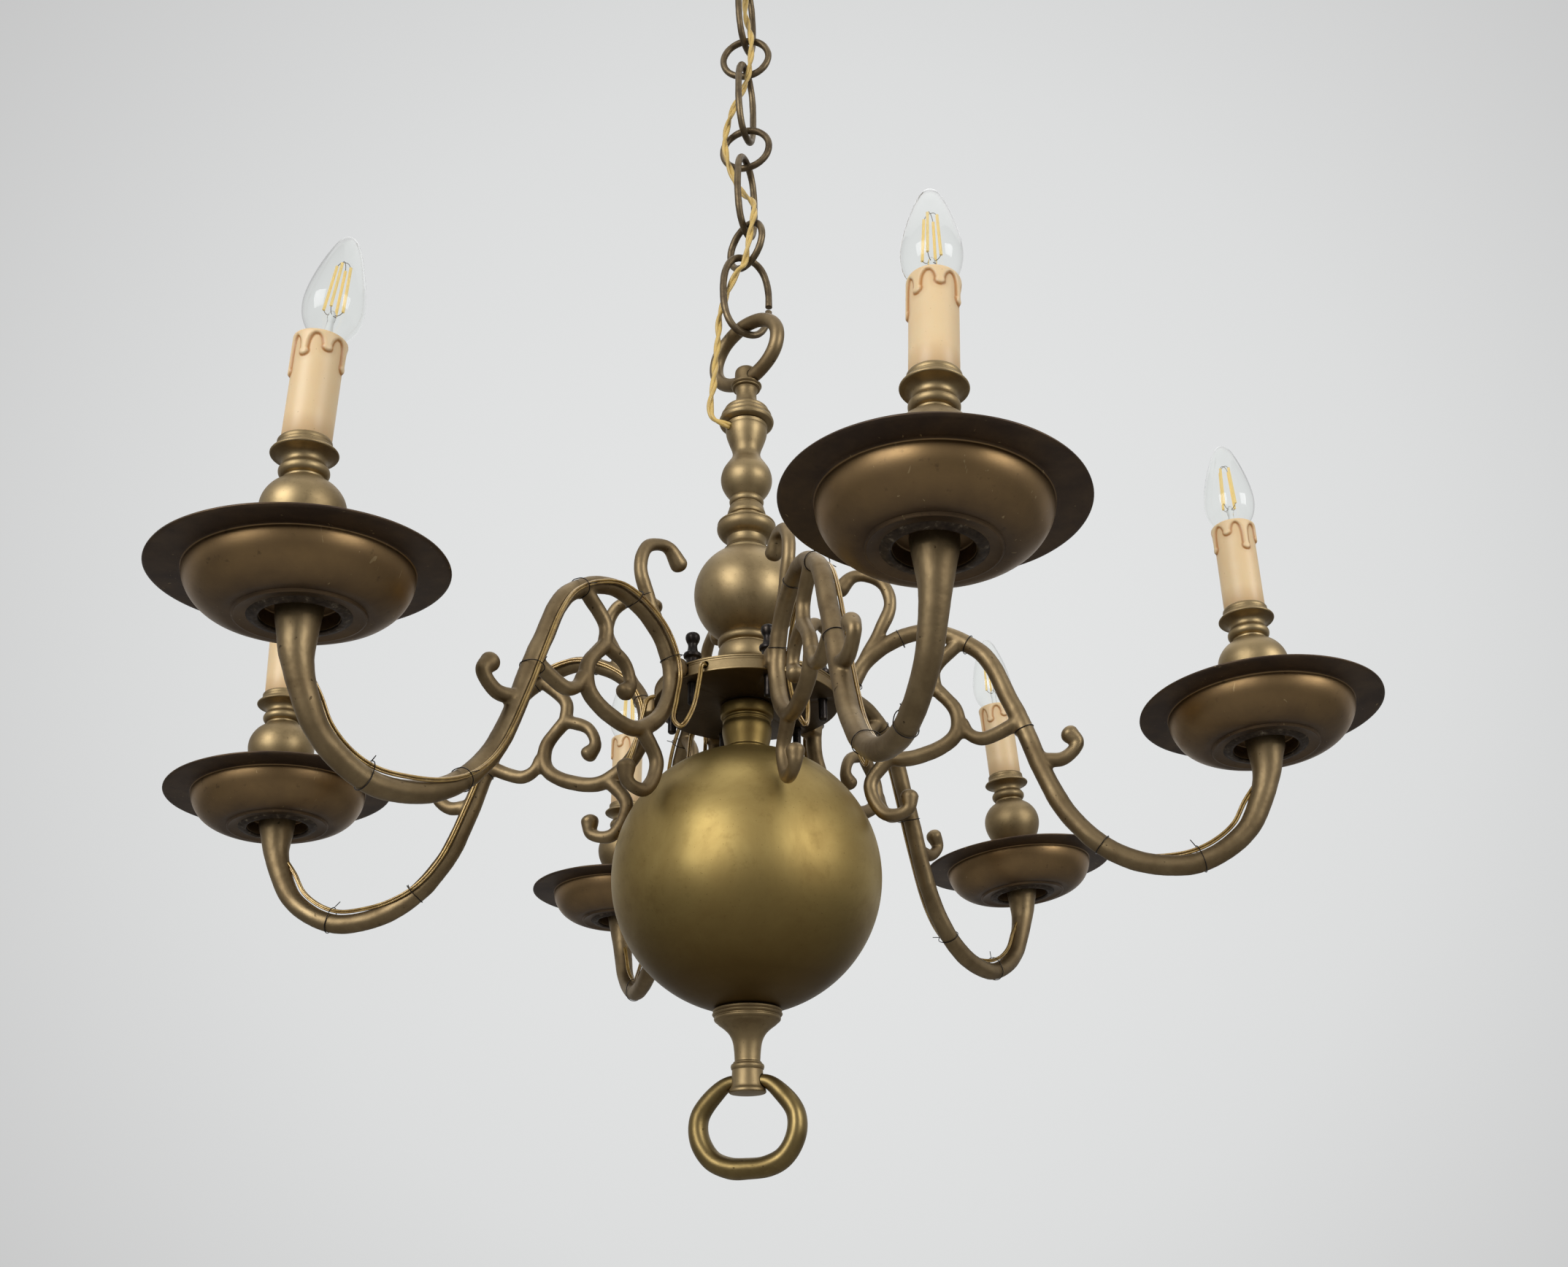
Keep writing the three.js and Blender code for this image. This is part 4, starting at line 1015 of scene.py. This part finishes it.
class ChandelierArmPlate(bpy.types.Operator):
    """Makes the shallow drum with its slots, wire holes and pin holes"""

    bl_idname = "chandelier.arm_plate"
    bl_label = "Arm plate"

    def execute(self, context):
        top, under = high("arm_plate"), low("arm_plate")
        edge = PLATE_RADIUS
        drum = turned("arm_drum", [
            (8.2, top), (edge - 1, top), (edge, top - 0.5), (edge, top - 1.5), (edge - 0.6, top - 1.9),
            (edge - 0.6, top - 2.9), (edge - 0.9, top - 3.1), (edge - 0.6, top - 3.3),
            (edge - 0.6, under + 1.9), (edge, under + 1.5), (edge, under + 0.5), (edge - 1, under), (3.4, under),
            (3.4, under + 2), (edge - 3, under + 2), (edge - 3, top - 2), (8.2, top - 2), (8.2, top)], 144)
        half = middle("arm_plate")
        slots, pins, holes = [], [], []
        for degrees in ARMS.values():
            slots.append(block((59.5, 68.5), half, 12.8, 7, degrees - 90))
            pins.append(cylinder(3.5, facing(degrees, PIN_CIRCLE, top + 2), facing(degrees, PIN_CIRCLE, under - 2), 24))
            aside = degrees + WIRE_HOLE_ASIDE
            holes.append(cylinder(2.8, facing(aside, 59, half), facing(aside, 69, half), 24))
        for cutters in (slots, pins, holes):
            cut(drum, joined("cutter", cutters))
        soften(drum, 0.2)
        dressed(drum, "Satin brass, drum", ["arm_plate"])
        return {"FINISHED"}


class ChandelierMainBall(bpy.types.Operator):
    """Turns the main ball with its neck and collar"""

    bl_idname = "chandelier.main_ball"
    bl_label = "Main ball"

    def execute(self, context):
        top, size = high("main_ball"), 91.3
        centre = low("main_ball") + size
        angle = math.degrees(math.acos(15.4 / size))
        seat = centre + size * math.sin(math.radians(angle))
        ball = turned("main_ball_spun", [
            *raised(top, [
                (0, 0), (17.8, 0), (18.7, -1.2, SOFT), (19.0, -4.5, SOFT), (18.6, -8.2), (18.0, -9), (16.1, -9.6),
                (16.0, -10.8), (16.9, -11.2, SOFT), (17.1, -12.4, SOFT), (16.5, -13.4), (16.7, -14.4),
                (17.4, -17, SOFT), (17.3, -21, SOFT), (16.2, -27, SOFT)]),
            *raised(seat, [(15.2, 4.4), (16.3, 3.6, SOFT), (16.8, 2.2, SOFT), (16.0, 0.9), (15.2, 0.3)]),
            *arc((0, centre), size, angle, -90, 90)], 144)
        soften(ball, 0.2)
        dressed(ball, "Satin brass, spun ball", ["main_ball"])
        return {"FINISHED"}


class ChandelierBottomFinial(bpy.types.Operator):
    """Turns the bottom finial with its flange, trumpet and drilled lug"""

    bl_idname = "chandelier.bottom_finial"
    bl_label = "Bottom finial"

    def execute(self, context):
        finial = turned("bottom_finial_turning", raised(low("bottom_finial"), [
            (0, 51.4), (11.3, 52.1, SOFT), (21.4, 54.0), (22.3, 53.8, SOFT), (22.7, 52.9, SOFT), (22.1, 52.0),
            (22.6, 51.6, SOFT), (23.1, 50.8, SOFT), (22.5, 49.8), (21.3, 49.4), (21.3, 48.8), (21.9, 48.2, SOFT),
            (21.6, 46.8, SOFT), (20.4, 45.8), (19.2, 44.6, SOFT), (15.6, 41.8, SOFT), (12.2, 38.3, SOFT),
            (9.8, 33.5, SOFT), (8.7, 27, SOFT), (8.3, 20.3), (9.2, 19.8), (9.4, 18.8), (10.4, 18.3, SOFT),
            (10.9, 16.8, SOFT), (10.5, 15.2), (10.0, 14.7), (10.3, 9, SOFT), (10.8, 4, SOFT), (12.0, 2, SOFT),
            (12.1, 0.6), (11.5, 0), (0, 0)]), 96)
        soften(finial, 0.2)
        hole = hung_at("pull_ring")
        along = facing(75, 20)
        cut(finial, cylinder(5.0, (*(-along).xy, hole), (*along.xy, hole), 32))
        dressed(finial, "Satin brass, turned", ["bottom_finial"])
        return {"FINISHED"}


class ChandelierPullRing(bpy.types.Operator):
    """Makes the cast ring that hangs in the bottom finial"""

    bl_idname = "chandelier.pull_ring"
    bl_label = "Pull ring"

    def execute(self, context):
        wide, tall = 33, 54
        side = [
            (12.3, -0.2, 4.5), (0.66 * wide, -0.13 * tall, 5.6), (0.96 * wide, -0.38 * tall, 6.2),
            (0.96 * wide, -0.64 * tall, 6.5), (0.72 * wide, -0.88 * tall, 6.6), (0.36 * wide, -0.985 * tall, 6.6)]
        points = [*side, (0, -tall, 6.6), *((-x, z, r) for x, z, r in reversed(side)), (0, 0, 4.2)]
        line = through([(x, 0, z, r) for x, z, r in points], 8, closed=True)
        ring = rod("pull_ring_cast", line, 28, closed=True)
        for vertex in ring.data.vertices:
            # Below its top the wire is deeper from front to back than it is wide
            vertex.co.y *= 1 + 0.28 * clamped(-vertex.co.z / (20 * MM))
        roughen(ring, 0.35, 16, 5)
        moved(ring, raise_by(hung_at("pull_ring")) @ turn(-15))
        dressed(ring, "Cast brass, ring", ["pull_ring"], body="pull_ring", angle=60)
        return {"FINISHED"}


# The arms: points are measured from the lamp's axis or from the plate's rim, as the casting was drawn

def arm_end():
    """The height of the arm's end under the pan."""
    return middle("arm_plate") - LAMP_DROP


def lamp(inward, up, radius):
    """A point of the arm counted from its lamp's end."""
    return (LAMP_CIRCLE - inward, 0, arm_end() + up, radius)


def hub(outward, up, radius):
    """A point of the arm counted from the plate's rim."""
    return (PLATE_RADIUS + outward, 0, middle("arm_plate") + up, radius)


def arm_scroll():
    """The arm's main line, from its mouth under the pan to the foot of the inner scroll."""
    return [
        lamp(0, -8, 12.6), lamp(3, -32, 8.6), lamp(20, -66, 7.0), lamp(54, -85, 6.8), lamp(98, -77, 6.8),
        hub(152.5, -103.8, 6.7), hub(120.5, -20.8, 6.4), hub(101.5, 20.2, 6.2), hub(61.5, 40.2, 5.9),
        hub(22.5, 23.2, 5.8), hub(8.5, -6.8, 5.8), hub(16.5, -35.8, 5.7), hub(38.5, -53.8, 5.6),
        hub(62.5, -51.8, 5.4), hub(80.5, -40.8, 5.3), hub(82.5, -23.8, 5.1), hub(68.5, -3.8, 5.0)]


class ChandelierArms(bpy.types.Operator):
    """Casts the scroll arms with their branches, tongues and nipples"""

    bl_idname = "chandelier.arms"
    bl_label = "Arms"

    # Each branch: whether it ends in a round blunt tip, and its points counted from the plate's rim
    branches = [
        (False, [(68.5, -3.8, 4.9), (68.5, 10.2, 4.9), (85.5, 28.2, 5.2)]),
        (True, [(68.5, -3.8, 4.9), (50.5, -11.8, 4.5), (45.5, -25.0, 4.5), (50.0, -31.2, 6.4)]),
        (True, [(34.5, -52.8, 5.4), (20.5, -72.8, 4.9), (30.5, -93.8, 4.7), (45.5, -91.8, 4.6), (47.2, -82.5, 6.5)]),
        (False, [(122.5, -35.8, 5.2), (99.5, -44.8, 4.8), (90.5, -40.8, 4.5), (85.5, -31.8, 4.8)]),
        (True, [(138.5, -63.8, 5.0), (152.5, -63.8, 4.8), (162.5, -53.8, 4.6), (157.6, -46.6, 6.5)]),
        (True, [(18.5, 20.2, 5.0), (31.5, 44.2, 4.9), (39.5, 65.2, 4.8), (33.5, 83.2, 4.6), (14.5, 90.2, 4.6),
                (3.6, 80.8, 6.4)]),
    ]

    def execute(self, context):
        made = [rod("arm", [lamp(0, -0.6, 13.2), *through(arm_scroll(), 10)], 20)]
        for blunt, points in self.branches:
            line = through([hub(*point) for point in points], 8)
            made.append(rod("branch", rounded_ends(line)[TIP_STEPS:] if blunt else line, 16))
        for reach, width, thick in (((48.0, 75.5), 12, 6.2), ((66.2, 76.0), 14.5, 12.5)):
            root = block(reach, middle("arm_plate"), width, thick)
            soften(root, 1.2)
            made.append(root)
        arm = joined("arm", made)
        apply_modifier(arm, "REMESH", mode="VOXEL", voxel_size=1.0 * MM, use_smooth_shade=True)
        apply_modifier(arm, "SMOOTH", factor=0.5, iterations=9)
        roughen(arm, 0.4, 13, 2)
        roughen(arm, 0.08, 3.0, 7)
        for letter, copy in round_the_arms(arm, "arm_casting").items():
            # Only the mouth under the pan is stretched, over 22 mm of its length
            axis = facing(ARMS[letter], LAMP_CIRCLE * MM)
            lifted(copy, arm_end() - 26, arm_end() - 4, LAMPS[letter]["lift"], axis)
            dressed(copy, "Cast brass, bare", [f"arm_{letter}"], angle=60)
        nipple = turned("nipple", [(0, 0), (5, 0), (5, 110), (4.4, 110.6), (0, 110.6), (0, 0)], 24)
        moved(nipple, Matrix.Translation((LAMP_CIRCLE * MM, 0, (arm_end() - 4) * MM)))
        for letter, copy in round_the_arms(nipple, "nipple").items():
            moved(copy, leaned(letter))
            dressed(copy, "Cast brass, bare", (), angle=60)
        return {"FINISHED"}


class ChandelierWiring(bpy.types.Operator):
    """Lays the flex along each arm, with its loop to the drum and the wires that bind it"""

    bl_idname = "chandelier.wiring"
    bl_label = "Flex and binding wires"

    # The part of the arm's line that the flex lies along, and where the binding wires sit in that part, as shares
    laid_along = (0.1, 0.62)
    bound_at = (0.16, 0.33, 0.5, 0.68, 0.82, 0.97)

    def execute(self, context):
        route = self.route()
        strands = []
        for number in range(3):
            line = []
            for i, point in enumerate(route):
                angle = 2 * math.pi * number / 3 + 0.7 * math.sin(i / 31)
                away = round_about(direction(route, i), (0.2, 0.9, 0.3), angle)
                line.append((*(point + away * 0.95), 0.75))
            strands.append(rod("strand", line, 8))
        flex = joined("flex", strands)
        for copy in round_the_arms(flex, "flex").values():
            dressed(copy, "Clear flex", ["arm_wiring"], angle=80)
        ties = [self.tie(route, share, number) for number, share in enumerate(self.bound_at)]
        for copy in round_the_arms(joined("ties", ties), "binding_wires").values():
            dressed(copy, "Blackened steel", (), angle=80)
        self.lead()
        return {"FINISHED"}

    def route(self):
        """The flex's line: out of the arm's mouth, along the tube, beside the arch and down round to the drum."""
        fine = through(arm_scroll(), 4)
        steps = len(fine) - 1
        first, last = (round(share * steps) for share in self.laid_along)
        along = []
        for at in range(first, last + 1, 2):
            x, _, z, radius = fine[at]
            ahead = direction(fine, at)
            # In the arm's own plane near the mouth, then round to its side
            share = clamped((at / steps - 0.16) / 0.14)
            around = share * share * (3 - 2 * share) * math.pi / 2
            away = Vector((ahead.z, 0, -ahead.x)) * (radius + 2.3) * math.cos(around)
            away += Vector((0, 8.3, 0)) * math.sin(around)
            along.append(Vector((x, 0, z)) + away)
        mouth = [lamp(1.5, -16, 0)[:3], lamp(4, -25, 0)[:3]]
        loose = [(PLATE_RADIUS + outward, aside, middle("arm_plate") + up) for outward, up, aside in (
            (12.5, -27.5, 9.3), (17.5, -45, 12.3), (15.5, -50, 17.3), (9.5, -37.5, 21.3))]
        hole = [facing(90 + WIRE_HOLE_ASIDE, radius, middle("arm_plate") + up) for radius, up in (
            (PLATE_RADIUS + 7, -12.5), (PLATE_RADIUS + 4.5, -2.5), (PLATE_RADIUS, 0), (40, 0))]
        return through([*mouth, *along, *loose, *hole], 6)

    def tie(self, route, share, number):
        """A thin wire wound once round the arm and flex, with its two ends twisted together."""
        fine = through(arm_scroll(), 8)
        steps = len(fine) - 1
        first, last = self.laid_along
        at = round((first + (last - first) * share) * steps)
        centre = Vector(fine[at][:3])
        ahead = direction(fine, at)
        toward = min(route, key=lambda point: (point - centre).length) - centre
        toward -= ahead * toward.dot(ahead)
        reach = toward.length
        toward = toward.normalized()
        beside = ahead.cross(toward)
        size = fine[at][3] + 0.35
        line = []
        for i in range(41):
            angle = 2 * math.pi * i / 40
            bulge = max(0.0, math.cos(angle)) ** 3 * (reach + 2.1 - size)
            place = centre + (toward * math.cos(angle) + beside * math.sin(angle)) * (size + bulge)
            place += ahead * 0.5 * math.sin(angle + number)
            line.append((*place, 0.32))
        end = Vector(line[0][:3])
        tail = end + toward * 5 + beside * (2 if number % 2 else -2) + ahead * 2
        line += [(*end.lerp(tail, 0.5), 0.32), (*tail, 0.28)]
        return rod("tie", line, 8)

    def lead(self):
        """The lead that goes on from the cord down beside the rod."""
        hole = high("upper_baluster") - CORD_HOLE_DROP
        points = [facing(CORD_HOLE, radius, height) for radius, height in (
            (11, hole), (7.4, hole), (5.6, hole - 2.4), (5.4, hole - 8), (5.4, middle("arm_plate")))]
        dressed(thin_wire("lead", points, 2.0, 12), "Twisted cord", ["arm_wiring"], angle=80)


class ChandelierPins(bpy.types.Operator):
    """Turns the pins that hold the arms in the drum"""

    bl_idname = "chandelier.pins"
    bl_label = "Arm pins"

    def execute(self, context):
        top, end, seat = high("arm_pin_a"), low("arm_pin_a"), high("arm_plate") + 0.3
        head = [
            *raised(top, [
                (0, 0), (2.4, -0.2, SOFT), (3.9, -1.3, SOFT), (4.4, -3.2, SOFT), (3.9, -5.4, SOFT), (2.9, -7.6, SOFT),
                (2.9, -10, SOFT), (3.5, -12.4), (5.2, -13.4), (5.5, -14.4, SOFT), (5.3, -15.8), (4.1, -16.6, SOFT),
                (3.8, -18.6, SOFT)]),
            (4.6, seat + 0.6), (4.6, seat)]
        wider, taller = 1.15, 1.2
        pin = turned("pin", [
            *((r * wider, seat + (z - seat) * taller, *soft) for r, z, *soft in head),
            (3, seat), (3, end + 1), (2.2, end), (0, end)], 36)
        soften(pin, 0.2)
        for letter, copy in round_the_arms(pin, "pin_turning", PIN_CIRCLE).items():
            dressed(copy, "Blackened steel", [f"arm_pin_{letter}"], body=f"pin_{letter}")
        return {"FINISHED"}


class ChandelierPans(bpy.types.Operator):
    """Spins the drip pans with their recess, bead and wide rim"""

    bl_idname = "chandelier.pans"
    bl_label = "Drip pans"

    def execute(self, context):
        rim, bead = high("drip_pan_a"), low("drip_pan_a")
        flat = bead + 1.4
        roof = flat + 9
        pan = turned("pan", [
            (5.5, roof), (20.4, roof), (21, roof - 0.6), (21, flat + 0.4), (27.4, flat + 0.2),
            (33.0, flat - 0.2), (33.8, flat - 0.7), (34.8, flat - 0.5), (35.3, flat + 0.9), (36.2, flat + 0.7),
            (41, flat + 0.9, SOFT), (48, flat + 3.8, SOFT), (54.4, flat + 9, SOFT), (58.8, flat + 16, SOFT),
            (60.7, flat + 22.6, SOFT), (60.6, rim - 2.2), (61.3, rim - 1.7),
            (70, rim - 1.2, SOFT), (78.6, rim - 0.9), (79.4, rim - 0.4), (79.2, rim + 0.5), (78.4, rim + 0.7),
            (70, rim + 0.5, SOFT), (60.4, rim), (58.9, rim - 1.2), (57.4, flat + 17.6, SOFT), (53, flat + 10.6, SOFT),
            (46.6, flat + 5.2, SOFT), (39, flat + 2.2), (23, flat + 1.9), (22.9, roof + 1.9), (5.5, roof + 1.9),
            (5.5, roof)], 128)
        soften(pan, 0.18)
        roughen(pan, 0.25, 30, 4)
        # Patina and painted shade: the rim and the bowl's lower wall are marked darker, as they look over a dark floor
        shade = pan.data.attributes.new("patina", "FLOAT", "POINT")
        for vertex, mark in zip(pan.data.vertices, shade.data):
            mark.value = self.darkness(math.hypot(vertex.co.x, vertex.co.y) / MM)
        for letter, copy in round_the_arms(pan, "pan_spinning", LAMP_CIRCLE).items():
            moved(copy, leaned(letter))
            dressed(copy, "Patinated brass, spun pan", [f"drip_pan_{letter}"])
        ring = turned("bead", raised(flat, [
            (21.2, 0.3), (21.5, -0.9), (22.4, -1.4, SOFT), (24.0, -1.4, SOFT), (25.4, -0.9, SOFT), (26.6, -0.5),
            (27.6, 0.3), (27.4, 0.6), (21.2, 0.6), (21.2, 0.3)]), 144)
        roughen(ring, 0.16, 2.6, 1)
        for letter, copy in round_the_arms(ring, "pan_bead", LAMP_CIRCLE).items():
            moved(copy, leaned(letter))
            dressed(copy, "Worn solder", ())
        return {"FINISHED"}

    def darkness(self, out):
        """How dark a pan is at a distance from its axis, from 0 on the bowl's wall to 1, as patina and painted shade.
        """
        if out > 61:
            return 0.93
        if out < 24:
            return 0.5
        return 0.14 + 0.62 * clamped((56 - out) / 18)


class ChandelierCups(bpy.types.Operator):
    """Turns the candle cups between pan and sleeve"""

    bl_idname = "chandelier.cups"
    bl_label = "Candle cups"

    def execute(self, context):
        end = low("candle_cup_a")
        cup = turned("cup", raised(end, [
            (5.5, 0), (14.6, 0), (15.3, 0.8, SOFT), (15.0, 2.0), (11.8, 4, SOFT), (9.9, 8, SOFT), (9.6, 14, SOFT),
            (10.8, 22, SOFT), (14.6, 31, SOFT), (19.4, 40, SOFT), (22.6, 48, SOFT), (23.4, 55, SOFT),
            (22.0, 61.5, SOFT), (18.4, 67.2, SOFT), (13.8, 71, SOFT), (10.9, 73.2), (11.1, 74.4), (12.6, 75.2, SOFT),
            (13.7, 77.0, SOFT), (13.8, 79.2, SOFT), (12.9, 81.0), (11.8, 82.0, SOFT), (11.5, 83.8, SOFT),
            (12.4, 86.0, SOFT), (15.0, 87.8, SOFT), (17.2, 88.5), (18.2, 88.9, SOFT), (18.6, 89.8, SOFT),
            (18.0, 90.8), (16.2, 91.5, SOFT), (15.3, 92.6), (15.0, 93.2), (15.1, 94.4), (14.8, 94.8), (15.0, 95.2),
            (14.9, 97.0), (14.4, 97.7), (14.05, 97.7), (14.05, 91.1), (5.5, 91.1), (5.5, 0)]), 80)
        soften(cup, 0.15)
        for letter, copy in round_the_arms(cup, "cup_turning", LAMP_CIRCLE).items():
            lifted(copy, end + 4, end + 24, LAMPS[letter]["rise"])
            moved(copy, leaned(letter))
            dressed(copy, "Satin brass, turned", [f"candle_cup_{letter}"])
        return {"FINISHED"}


class ChandelierSleeves(bpy.types.Operator):
    """Moulds the candle sleeves with wax drips round their tops"""

    bl_idname = "chandelier.sleeves"
    bl_label = "Candle sleeves"

    # Each drip: its place round the sleeve in degrees and its length in millimetres
    drips = [(0, 26), (47, 16), (100, 12), (153, 20), (205, 11), (255, 23), (308, 14)]
    # How far each sleeve is turned in its cup
    turns = {"a": 338, "b": 252, "c": 40, "d": 140, "e": 290, "f": 200}

    def execute(self, context):
        base, top = low("candle_sleeve_a"), high("candle_sleeve_a")
        radius = context.scene.chandelier_sizes.sleeve_radius / MM
        # Close rows over the height that the drips reach
        rows = [(radius, top - 33 + 0.5 * i) for i in range(64)]
        sleeve = turned("sleeve", [
            (radius - 1.4, base), (radius - 0.3, base), (radius, base + 0.2), (radius, base + 20), (radius, top - 34),
            *rows, (radius - 0.1, top - 0.7), (radius - 0.5, top - 0.2), (radius - 1.2, top), (radius - 2.2, top),
            (radius - 2.5, top - 0.5), (radius - 2.5, top - 3), (radius - 1.4, top - 3), (radius - 1.4, base)], 160)
        stain = sleeve.data.attributes.new("drip_edge", "FLOAT", "POINT")
        for vertex, mark in zip(sleeve.data.vertices, stain.data):
            out = math.hypot(vertex.co.x, vertex.co.y) / MM
            down = top - vertex.co.z / MM
            if out > radius - 1.3 and down < 34:
                inside = self.inside(math.degrees(math.atan2(vertex.co.y, vertex.co.x)) % 360, down, radius)
                push = (out + 1.5 * clamped(0.5 + inside / 1.4) ** 0.6) / out
                vertex.co.x *= push
                vertex.co.y *= push
                # A dark line just outside the wax's edge, with a faint wash beyond it
                edge, wash = math.exp(-((inside + 0.6) / 0.6) ** 2), math.exp(-((inside + 2.2) / 1.4) ** 2)
                mark.value = 0.9 * edge + 0.1 * wash
            elif down > 64:
                mark.value = 0.35
        for letter, copy in round_the_arms(sleeve, "sleeve_moulding", LAMP_CIRCLE).items():
            axis = facing(ARMS[letter], LAMP_CIRCLE * MM)
            moved(copy, Matrix.Translation(axis) @ turn(self.turns[letter]) @ Matrix.Translation(-axis))
            moved(copy, leaned(letter, "sleeve") @ raise_by(LAMPS[letter]["rise"]))
            dressed(copy, "Candle plastic", [f"candle_sleeve_{letter}"], angle=70)
        return {"FINISHED"}

    def inside(self, degrees, down, radius):
        """How far a place lies inside the wax, in millimetres, below zero outside it."""
        best = 2.4 - down
        for place, reach in self.drips:
            away = abs((degrees - place + 180) % 360 - 180) * math.pi / 180 * radius
            if down < reach - 2:
                best = max(best, 0.8 * (1.65 + 5.2 * math.exp(-max(0, down - 1.6) / 2.6) - away))
            best = max(best, 2.35 - math.hypot(away, down - reach + 2))
        return best


class ChandelierSockets(bpy.types.Operator):
    """Makes the lampholders inside the sleeves"""

    bl_idname = "chandelier.sockets"
    bl_label = "Lampholders"

    def execute(self, context):
        end, top = low("lamp_socket_a"), high("lamp_socket_a")
        floor = top - 26
        holder = turned("holder", [
            (5.6, end), (10.8, end), (11.3, end + 0.6), (11.3, end + 20), (10.6, end + 20.6), (10.6, end + 30),
            (11.3, end + 30.6), (11.3, top - 1), (10.6, top), (7.6, top), (7.2, top - 0.6), (7.2, floor), (1, floor),
            (0, floor), (0, floor - 3), (5.6, floor - 3), (5.6, end)], 48)
        soften(holder, 0.2)
        for letter, copy in round_the_arms(holder, "lampholder", LAMP_CIRCLE).items():
            lifted(copy, end + 2, end + 19, LAMPS[letter]["seat"])
            moved(copy, leaned(letter, "sleeve") @ raise_by(LAMPS[letter]["rise"]))
            dressed(copy, "Glazed porcelain", [f"lamp_socket_{letter}"])
        return {"FINISHED"}


class ChandelierBulbs(bpy.types.Operator):
    """Makes the clear candle bulbs with their caps, stems, wires and strips"""

    bl_idname = "chandelier.bulbs"
    bl_label = "Bulbs"

    def execute(self, context):
        end, top = low("bulb_a"), high("bulb_a")
        seat = end + 26
        wide = context.scene.chandelier_sizes.bulb_radius / MM
        glass = self.envelope(seat, top - seat, wide)
        self.share_out(glass, "bulb_glass", "Clear blown glass", replaced=True)
        threads = []
        for i in range(5):
            threads += [(6.0, end + 5.5 + 3 * i, SOFT), (6.8, end + 7 + 3 * i, SOFT)]
        cap = turned("cap", [
            (0, end), (2.6, end, SOFT), (3.2, end + 1.2), (5.2, end + 3.4), *threads, (6.3, end + 22), (6.8, seat),
            (6.8, seat + 1.2), (6.2, seat + 1.2), (0, seat + 1.0)], 40)
        self.share_out(cap, "bulb_cap", "Lamp cap brass")
        stem = turned("stem", raised(seat, [
            (0, 1.2), (5.4, 1.2), (4.4, 4, SOFT), (2.7, 9, SOFT), (2.0, 15, SOFT), (2.5, 19, SOFT), (1.2, 22.5, SOFT),
            (0, 23.2)]), 24)
        self.share_out(stem, "bulb_stem", "Clear blown glass")
        strips, wires = [], []
        for i in range(4):
            angle = math.pi / 4 + math.pi / 2 * i
            low_end, low_bend, foot, head, high_bend, high_end = (
                Vector((math.cos(angle), math.sin(angle), 0)) * out + Vector((0, 0, seat + up))
                for out, up in ((1.2, 20), (3.6, 20.6), (5.6, 23), (4.0, 53), (2.0, 55.6), (0, 56.2)))
            strips.append(rod("strip", [(*foot, 0.9), (*head, 0.9)], 8))
            wires.append(thin_wire("wire", [low_end, low_bend, foot], 0.22, 6))
            wires.append(thin_wire("wire", [head, high_bend, high_end], 0.22, 6))
        self.share_out(joined("strips", strips), "bulb_strips", "Phosphor strip, painted glow")
        self.share_out(joined("wires", wires), "bulb_wires", "Nickel wire")
        return {"FINISHED"}

    def envelope(self, seat, tall, wide):
        """The blown glass, outside and then inside, a little under a millimetre thick."""
        shape = [
            (0.39, 0), (0.42, 0.01), (0.53, 0.045), (0.73, 0.12), (0.92, 0.21), (1.0, 0.32), (0.975, 0.42),
            (0.885, 0.54), (0.735, 0.68), (0.545, 0.82), (0.36, 0.925), (0.19, 0.98), (0.0, 1.0)]
        outer = [(wide * r, seat + tall * h, SOFT) for r, h in shape]
        inner = [(max(0.0, wide * r - 0.7), seat + 0.7 + (tall - 1.4) * h, SOFT) for r, h in reversed(shape)]
        outline = [outer[0][:2], *outer[1:-1], outer[-1][:2], inner[0][:2], *inner[1:-1], inner[-1][:2], outer[0][:2]]
        return turned("glass", outline, 72, share=4)

    def share_out(self, piece, name, finish, replaced=False):
        """Puts a part of the bulb at every arm."""
        for letter, copy in round_the_arms(piece, name, LAMP_CIRCLE).items():
            lift = LAMPS[letter]["rise"] + LAMPS[letter]["seat"]
            moved(copy, leaned(letter, "bulb") @ raise_by(lift))
            dressed(copy, finish, [f"bulb_{letter}"] if replaced else (), angle=60)


OPERATORS = (
    ChandelierStage, ChandelierCord, ChandelierRose, ChandelierChain, ChandelierSuspensionRing, ChandelierStem,
    ChandelierArmPlate, ChandelierMainBall, ChandelierBottomFinial, ChandelierPullRing, ChandelierArms,
    ChandelierWiring, ChandelierPins, ChandelierPans, ChandelierCups, ChandelierSleeves, ChandelierSockets,
    ChandelierBulbs,
)


class ChandelierPanel(bpy.types.Panel):
    """Lists the colours, the sizes and the pieces in the sidebar"""

    bl_idname = "VIEW3D_PT_chandelier"
    bl_label = "Chandelier"
    bl_space_type = "VIEW_3D"
    bl_region_type = "UI"
    bl_category = "Chandelier"

    def draw(self, context):
        for group in (context.scene.chandelier_colours, context.scene.chandelier_sizes):
            column = self.layout.column()
            for key in group.bl_rna.properties.keys():
                if key not in ("rna_type", "name"):
                    column.prop(group, key)
        for operator in OPERATORS:
            self.layout.operator(operator.bl_idname)


CLASSES = (FinishColours, PieceSizes, *OPERATORS, ChandelierPanel)


def register():
    for cls in CLASSES:
        bpy.utils.register_class(cls)
    bpy.types.Scene.chandelier_colours = PointerProperty(type=FinishColours)
    bpy.types.Scene.chandelier_sizes = PointerProperty(type=PieceSizes)


def unregister():
    del bpy.types.Scene.chandelier_sizes
    del bpy.types.Scene.chandelier_colours
    for cls in reversed(CLASSES):
        bpy.utils.unregister_class(cls)


def main():
    register()
    deselect()
    for operator in OPERATORS:
        group, name = operator.bl_idname.split(".")
        getattr(getattr(bpy.ops, group), name)()


if __name__ == "__main__":
    main()
